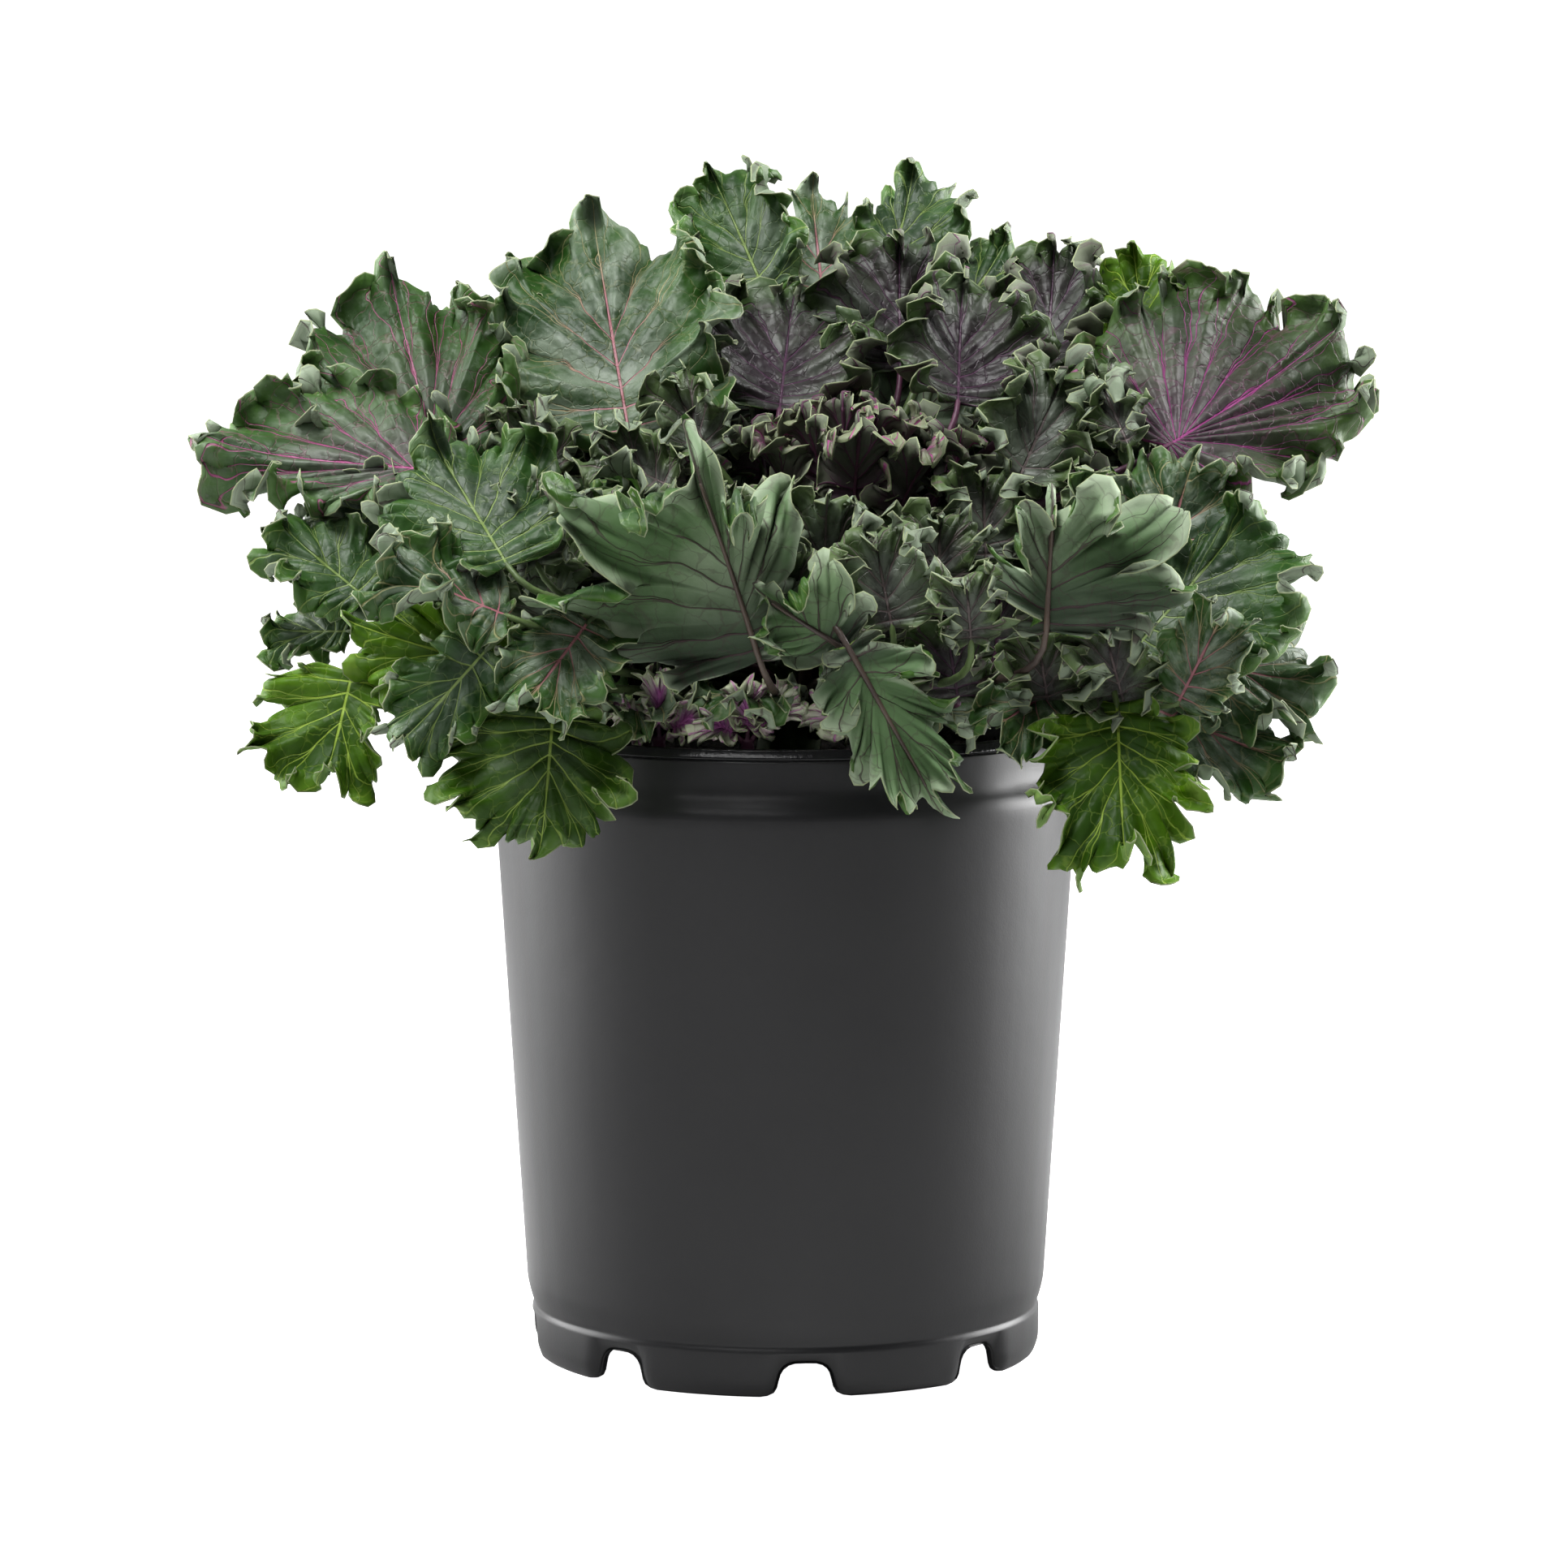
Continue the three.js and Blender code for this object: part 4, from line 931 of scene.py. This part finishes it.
@functools.cache
def leaf_material(kind):
    """The upper side of a leaf."""
    facts = KINDS[kind]
    look = new_look("leaf_" + kind)
    reach, rim = look.mark("reach"), look.mark("rim")
    color = look.mix(look.scaled(look.noise(38, 4), 0.35, 0.65), *facts["blade"])
    core_color, core_share = facts["core"]
    color = look.mix(look.times(look.scaled(reach, 0.85, 0.15), core_share), color, core_color)
    color = look.mix(look.scaled(rim, facts["zone"], 1, 0, 0.85), color, facts["rim"])
    veins = vein_mask(look, 0.5, 0.28)
    net = net_mask(look, 6.5, 0.05)
    color = look.mix(look.times(net, facts["net"]), color, facts["vein"])
    # the pale wax, which also paints sheen, lies in streaks from the midrib outwards, and in clouds
    place = (look.times(look.mark("lobe"), 1.6), look.times(reach, 1.8), look.times(look.noise(12, 2), 5))
    streaks = look.node("ShaderNodeCombineXYZ", enumerate(place)).outputs[0]
    cloud = look.plus(look.noise(1, 5, streaks, 0.6), look.noise(45, 5, roughness=0.6))
    color = look.mix(look.times(look.scaled(cloud, 0.9, 1.18), facts["bloom"]), color, BLOOM)
    vein = look.mix(look.scaled(reach, 0.15, 0.7), facts["vein_base"], facts["vein"])
    color = look.mix(look.times(veins, 0.85), color, vein)
    color = look.mix(look.scaled(rim, 0.45, 0.15), color, MARGIN)
    height = look.minus(look.minus(look.noise(260, 3), look.times(veins, 0.8)), look.times(net, 0.25))
    blisters = look.bump(look.noise(90, 2), 0.0035, 0.65)
    let_through(look, color, facts["through"])
    return look.set(Base_Color=color, Roughness=0.47, Specular_IOR_Level=facts["gloss"],
                    Normal=look.bump(height, 0.0005, 0.9, blisters))


def let_through(look, color, share):
    """Some of the light that falls on the far side shines through the blade."""
    glow = look.node("ShaderNodeBsdfTranslucent", {"Color": look.mix(0.5, color, (0.16, 0.30, 0.02))})
    shader, output = look.tree.nodes["Principled BSDF"], look.tree.nodes["Material Output"]
    both = look.node("ShaderNodeMixShader", {0: share, 1: shader.outputs[0], 2: glow.outputs[0]})
    look.link(both.outputs[0], output.inputs["Surface"])


@functools.cache
def under_material(under):
    """The underside of a leaf, pale and matte, with raised veins, painted shade towards the stalk and an
    edge zone that is partly painted light.
    """
    facts = UNDERSIDES[under]
    look = new_look("underside_" + under)
    rim, length = look.mark("rim"), look.split(look.mark("flat"))["X"]
    color = look.mix(look.scaled(look.noise(22, 5), 0.38, 0.62), *facts["blade"])
    # painted shade towards the stalk on the pale and silver undersides; on the dusk and lilac ones, the purple
    # base
    color = look.mix(look.scaled(length, facts["shade"], 0, 0, 0.85), color, facts["core"])
    # the lighter edge zone, partly painted light
    color = look.mix(look.scaled(rim, 9, 1, 0, 0.6), color, facts["rim"])
    veins = vein_mask(look, 0.42, 0.22)
    color = look.mix(look.times(net_mask(look, 7.5, 0.045), 0.3), color, facts["vein"])
    color = look.mix(look.times(veins, 0.75), color, facts["vein"])
    color = look.mix(look.scaled(rim, 0.45, 0.15), color, MARGIN)
    height = look.plus(look.times(look.noise(300, 3), 0.6), look.times(veins, 0.9))
    relief = look.bump(height, 0.0005, 0.9)
    return look.set(Base_Color=color, Roughness=0.7, Specular_IOR_Level=0.3, Normal=relief)


@functools.cache
def stalk_material(name):
    look = new_look("stalk_" + name)
    color = look.mix(look.scaled(look.noise(60, 4), 0.35, 0.7), *STALKS[name])
    return look.set(Base_Color=color, Roughness=0.5, Normal=look.bump(look.noise(500, 3), 0.0004, 0.6))


def pot_material():
    """Black plastic, finely speckled, with a smoother lip that has fine upright streaks."""
    look = new_look("pot_black_plastic")
    place = look.node("ShaderNodeTexCoord").outputs["Object"]
    tall = look.node("ShaderNodeVectorMath", {0: place, 1: [1, 1, 0.04]}, operation="MULTIPLY").outputs[0]
    height = look.split(place)["Z"]
    lip = (POT_HEIGHT - LIP_HEIGHT) * MM
    worn = look.scaled(height, lip - 0.001, lip + 0.0005, 0.04, 1)
    streaks = look.bump(look.times(look.noise(500, 4, tall, 0.7), worn), 0.0002, 0.8)
    color = look.mix(look.scaled(look.noise(14, 3), 0.3, 0.7), (0.012, 0.012, 0.013), (0.015, 0.015, 0.016))
    relief = look.plus(look.times(look.noise(1400, 2), 0.3), look.noise(90, 2))
    gloss = look.scaled(height, lip - 0.0005, lip + 0.0005, 0.36, 0.14)
    return look.set(Base_Color=color, Roughness=gloss, Specular_IOR_Level=0.37,
                    Normal=look.bump(relief, 0.0002, 0.35, streaks))


def soil_material():
    look = new_look("dark_potting_soil")
    grain = look.noise(420, 6, roughness=0.7)
    color = look.mix(look.scaled(grain, 0.35, 0.75), (0.006, 0.004, 0.003), (0.035, 0.024, 0.016))
    return look.set(Base_Color=color, Roughness=0.95, Normal=look.bump(grain, 0.002, 1.0))


# -------- pot
def rounded(corners):
    """The points of an outline through corners, each given as radius, height and rounding."""
    points = []
    for k, (radius, height, fillet) in enumerate(corners):
        here = np.array([radius, height], float)
        if not fillet or k in (0, len(corners) - 1):
            points.append(here)
            continue
        before, after = (np.array(corners[k + d][:2], float) - here for d in (-1, 1))
        reach = min(fillet, np.linalg.norm(before) * 0.45, np.linalg.norm(after) * 0.45)
        first, last = here + unit(before) * reach, here + unit(after) * reach
        for share in np.linspace(0, 1, 4):
            points.append(first * (1 - share) ** 2 + 2 * here * share * (1 - share) + last * share**2)
    return points


def pot_piece():
    """The pot's profile, from the floor's underside round the foot, up outside and down inside, turned round
    the axis. The foot's lower edge is lifted at the notches, and the wall is drawn in a little round them."""
    lip = POT_HEIGHT - LIP_HEIGHT
    outline = rounded([
        (0, FLOOR_UNDERSIDE, 0), (FOOT_INNER_RADIUS - 1, FLOOR_UNDERSIDE, 1.5), (FOOT_INNER_RADIUS, 0, 0.8),
        (FOOT_RADIUS - 1.7, 0, 1.4), (FOOT_RADIUS, 4.5, 3), (FOOT_RADIUS, GROOVE_HEIGHT - 1.6, 1.4),
        (GROOVE_RADIUS, GROOVE_HEIGHT, 0.7), (GROOVE_RADIUS + 0.9, GROOVE_HEIGHT + 2.6, 1.2),
        (BODY_BOTTOM_RADIUS, BODY_BOTTOM, 4), (BODY_BOTTOM_RADIUS + 0.5, BODY_BOTTOM + 8, 0),
        (BODY_BOTTOM_RADIUS + 3.4, BODY_BOTTOM + 54, 0), (BODY_BOTTOM_RADIUS + 6.9, BODY_BOTTOM + 110, 0),
        (SHOULDER_RADIUS - 0.8, SHOULDER_HEIGHT - 12, 0), (SHOULDER_RADIUS - 0.3, SHOULDER_HEIGHT - 6, 0),
        (SHOULDER_RADIUS, SHOULDER_HEIGHT - 0.5, 2.6), (COLLAR_RADIUS + 0.1, COVE_TOP - 0.5, 3),
        (COLLAR_RADIUS, COVE_TOP + 5, 0), (COLLAR_RADIUS, lip - 1.2, 0), (COLLAR_RADIUS, lip - 0.5, 0.3),
        (LIP_RADIUS - 0.6, lip - 0.1, 0.2), (LIP_RADIUS - 0.1, lip + 0.3, 0.3),
        (LIP_RADIUS - 0.1, lip + 0.8, 0.3), (LIP_RADIUS - 0.8, POT_HEIGHT - 0.3, 0.3),
        (LIP_RADIUS - WALL, POT_HEIGHT, 0.1), (LIP_RADIUS - WALL - 0.2, lip, 0),
        (COLLAR_RADIUS - WALL, COVE_TOP - 1, 3), (SHOULDER_RADIUS - WALL - 0.2, SHOULDER_HEIGHT - 3, 2),
        (BODY_BOTTOM_RADIUS - WALL, BODY_BOTTOM + 1, 3), (GROOVE_RADIUS - WALL, GROOVE_HEIGHT + 1, 1),
        (FOOT_INNER_RADIUS, FLOOR_TOP, 1), (0, FLOOR_TOP, 0),
    ])
    # the angles are closest together at the notches
    sector = 360 / NOTCH_COUNT
    half_steps = np.degrees(np.array([s for s, _ in NOTCH_ARCH] + BETWEEN_NOTCHES) / FOOT_RADIUS)
    local = np.concatenate([-half_steps[:0:-1], half_steps])
    angles = np.concatenate([FRONT_NOTCH_DEG + sector * k + local for k in range(NOTCH_COUNT)])
    away = np.tile(np.abs(local) / 180 * np.pi * FOOT_RADIUS, NOTCH_COUNT)
    arch = np.interp(away, [s for s, _ in NOTCH_ARCH], [h for _, h in NOTCH_ARCH])
    points = []
    for radius, height in outline:
        low = height < FLOOR_UNDERSIDE + 0.01 and radius > FOOT_INNER_RADIUS - 1
        lift = arch * max(0, 1 - height / FLOOR_UNDERSIDE) if low else 0 * arch
        beyond = np.clip(1 - np.hypot(np.maximum(away - 9, 0), max(0, height - 11)) / BEVEL_WIDTH, 0, 1)
        dent = BEVEL_DEPTH * beyond**2 if low and radius > FOOT_RADIUS - 2 else 0 * arch
        turned = np.radians(angles)
        ring = (radius - dent) * np.array([np.sin(turned), -np.cos(turned)])
        points.append(np.stack([ring[0], ring[1], height + lift], axis=-1))
    points = np.array(points[1:-1])
    piece = Piece("nursery_pot")
    piece.add_plain(points.reshape(-1, 3), ring_faces(len(points), len(angles)), pot_material())
    piece.make(slot="pot_plastic", replaces=["pot"])


# -------- soil
def soil_piece():
    """The mounded surface, closed below, with crumbs and bits of bark on it."""
    rng = np.random.default_rng(5)
    piece = Piece("potting_soil")
    material = soil_material()
    rings, sectors = SOIL_RINGS, SOIL_SECTORS
    radii = np.linspace(0.02, 1, rings)[:, None] * SOIL_RADIUS
    turned = np.linspace(0, 2 * np.pi, sectors, endpoint=False)[None, :]
    x, y = radii * np.cos(turned), radii * np.sin(turned)
    bumps = sum(np.sin(x * f + k) * np.cos(y * f * 1.1 + 2 * k) for k, f in enumerate(SOIL_BUMPS))
    z = SOIL_TOP + SOIL_MOUND * (1 - (radii / SOIL_RADIUS) ** 2) + 0.5 * bumps
    z = z + 0.5 * rng.standard_normal(x.shape)
    upper = np.stack([x, y, z], axis=-1).reshape(-1, 3)
    foot = np.stack([x[-1], y[-1], np.full(sectors, SOIL_TOP - SOIL_DEPTH)], axis=-1)
    points = np.concatenate([upper, foot])
    a = np.arange(rings * sectors).reshape(-1, sectors)
    b = np.roll(a, -1, axis=1)
    faces = np.stack([a, a + sectors, b + sectors, b], axis=-1).reshape(-1, 4).tolist()
    faces += [list(range(sectors)), list(range(rings * sectors, (rings + 1) * sectors))[::-1]]
    piece.add_plain(points, faces, material)
    for _ in range(CRUMBS):
        place = rng.uniform(0.05, 0.96) ** 0.5 * SOIL_RADIUS
        angle = rng.uniform(0, 2 * np.pi)
        centre = np.array([place * math.cos(angle), place * math.sin(angle), SOIL_TOP + 1.5])
        size = rng.uniform(1, 3.4)
        line = centre + rng.uniform(-1, 1, 3) * size * np.linspace(-1, 1, 4)[:, None]
        points, faces = tube(line, size * np.array([0.25, 0.6, 0.55, 0.2]), 6)
        piece.add_plain(points + rng.normal(0, 0.12, points.shape), faces, material)
    piece.make(slot="potting_soil", replaces=["soil"])


# -------- plant
def stem_points(foot, top):
    """A stem's line: upright from its foot to the soil, then straight to its top."""
    soil = np.array([*foot[:2], SOIL_TOP])
    upper = soil + (top - soil) * np.linspace(0, 1, 24)[:, None]
    return np.concatenate([np.linspace(foot, soil, 6)[:-1], upper])


def head_stalks(leaves):
    """Each leaf with its stalk's root on the stem, as in the solids: the flattest stalk is the lowest."""
    top = np.array(HEART_BASE, float)
    low, high = STALK_ROOTS
    steepness = [(one["hub"][2] - STALK_LEVEL) / math.hypot(*one["hub"][:2]) for one in leaves]
    order = np.argsort(np.argsort(steepness, kind="stable"), kind="stable")
    for one, rank in zip(leaves, order):
        share = low + (high - low) * rank / (len(leaves) - 1)
        centre = np.array([0, 0, SOIL_TOP]) * (1 - share) + top * share
        outward = np.array(one["hub"], float) - centre
        outward[2] = 0
        radius = STEM_FOOT_RADIUS * (1 - share) + STEM_TOP_RADIUS * share
        yield one, centre + unit(outward) * (radius - 3)


def head_pieces():
    """The head as pieces by their place: stem and stalks, the named leaves, and the filling in three."""
    leaves = head_leaves()
    stalks = Piece("kale_stem_and_stalks")
    foot, top = np.array([0, 0, STEM_FOOT], float), np.array(HEART_BASE, float)
    line = stem_points(foot, top)
    radii = np.linspace(STEM_FOOT_RADIUS, STEM_TOP_RADIUS, len(line))
    stalks.add_plain(*tube(line, radii, 20), stalk_material("green"))
    for one, root in head_stalks(leaves):
        stalks.add_stalk(one, root, STALK_RADIUS)
    stalks.make(slot="green_leaf", replaces=["kale_head"])
    groups = {
        "kale_leaves_tall": leaves[0:8],
        "kale_leaves_fans": leaves[8:14],
        "kale_leaves_right": leaves[14:20],
        "kale_leaves_front": leaves[20:24],
        "kale_leaves_left": leaves[24:34],
        "kale_leaves_frilled": leaves[34:49],
        "kale_leaves_sides": leaves[49:51],
        "kale_leaves_back": leaves[51:],
    }
    for name, members in groups.items():
        piece = Piece(name)
        for one in members:
            piece.add_blade(one)
        piece.make(slot="green_leaf", replaces=["kale_head"])
    filling = filling_leaves(leaves + heart_leaves())
    for number, letter in enumerate("abc"):
        piece = Piece("kale_leaves_inner_" + letter)
        for one in filling[number::3]:
            piece.add_blade(one)
            x, y, z = one["hub"]
            root = np.array([x * 0.1, y * 0.1, INNER_ROOTS + (z - INNER_ROOTS) * 0.5])
            piece.add_stalk(one, root, STALK_RADIUS * THIN_STALK)
        piece.make(slot="green_leaf", replaces=["kale_head"])


def heart_piece():
    """The heart's own stem, which goes on from the plant's, with its leaves."""
    piece = Piece("kale_heart_rosette")
    foot, top = np.array(HEART_BASE, float), np.array(HEART_TOP, float)
    line = foot + (top - foot) * np.linspace(0.01, 1, 12)[:, None]
    piece.add_plain(*tube(line, np.linspace(*HEART_RADII, 12), 16), stalk_material("purple"))
    for one in heart_leaves():
        piece.add_blade(one)
        piece.add_stalk(one, foot + (top - foot) * 0.6, HEART_STALK_RADIUS)
    piece.make(slot="purple_leaf", replaces=["kale_heart"])


def shoot_pieces():
    """Each side shoot with its stem in the soil and its leaves."""
    for number, shoot in enumerate(SHOOTS):
        piece = Piece(shoot["name"] + "_frills")
        foot = np.array([shoot["x"], shoot["y"], SHOOT_FOOT], float)
        top = np.array([shoot["x"], shoot["y"] - 4, SHOOT_TOP], float)
        line = stem_points(foot, top)
        radii = np.linspace(SHOOT_RADIUS, SHOOT_RADIUS * 0.7, len(line))
        piece.add_plain(*tube(line, radii, 12), stalk_material("purple"))
        for one in shoot_leaves(shoot, number):
            piece.add_blade(one)
            piece.add_stalk(one, foot + (top - foot) * 0.9, SHOOT_STALK_RADIUS)
        piece.make(slot="pale_leaf", replaces=[shoot["name"]])


# -------- studio
def camera():
    data = bpy.data.cameras.new("camera")
    data.sensor_width = SENSOR
    data.lens = FOCAL_PIXELS * SENSOR / IMAGE_PIXELS
    data.clip_end = 100
    eye = placed("camera", data)
    eye.location = (CAMERA_SIDE * MM, -CAMERA_DISTANCE * MM, CAMERA_HEIGHT * MM)
    eye.rotation_euler = (math.radians(90 - CAMERA_PITCH_DEG), 0, 0)
    bpy.context.scene.camera = eye


def floor():
    """A white floor that the camera sees without a shadow, and that gives little light from below."""
    mesh = bpy.data.meshes.new("floor")
    corners = [(FLOOR_SIZE * x, FLOOR_SIZE * y, 0) for x, y in ((-1, -1), (1, -1), (1, 1), (-1, 1))]
    mesh.from_pydata(corners, [], [(0, 1, 2, 3)])
    plane = placed("floor", mesh)
    look = new_look("floor_white")
    path = look.node("ShaderNodeLightPath")
    glow = look.times(path.outputs["Is Camera Ray"], FLOOR_GLOW)
    mesh.materials.append(look.set(Base_Color=(0.6, 0.6, 0.6), Roughness=0.9, Specular_IOR_Level=0.1,
                                   Emission_Color=(1, 1, 1), Emission_Strength=glow))
    plane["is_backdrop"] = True


def world():
    """White behind the plant. What lights it is weak, and darker on the viewer's side."""
    look = Look(bpy.data.worlds.new("studio"))
    depth = look.split(look.node("ShaderNodeTexCoord").outputs["Generated"])["Y"]
    light = look.scaled(depth, *AMBIENT_DEPTHS, *AMBIENT_STRENGTHS)
    seen = look.node("ShaderNodeLightPath").outputs["Is Camera Ray"]
    strength = look.node("ShaderNodeMix", {0: seen, 2: light, 3: BACKDROP}).outputs[0]
    background = look.tree.nodes["Background"]
    look.link(strength, background.inputs["Strength"])
    look.link((1, 1, 1), background.inputs["Color"])
    bpy.context.scene.world = look.owner


def softbox(name, place, target, size, power):
    """A soft rectangular light that looks from its place to the target."""
    data = bpy.data.lights.new(name, "AREA")
    data.shape = "RECTANGLE"
    data.size, data.size_y = size
    data.energy = power
    lamp = placed(name, data)
    lamp.location = place
    aim = np.array(target) - np.array(place)
    tilt = math.acos(-aim[2] / np.linalg.norm(aim))
    lamp.rotation_euler = (tilt, 0, math.atan2(aim[1], aim[0]) - math.pi / 2)
    lamp.visible_camera = False


def studio():
    """Camera, floor, surround, lights and the picture's tone curve."""
    camera()
    floor()
    world()
    for name, facts in LIGHTS.items():
        softbox(name, **facts)
    view = bpy.context.scene.view_settings
    view.view_transform = "Standard"
    view.exposure = EXPOSURE
    view.gamma = GAMMA


studio()
pot_piece()
soil_piece()
head_pieces()
heart_piece()
shoot_pieces()
new_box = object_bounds()
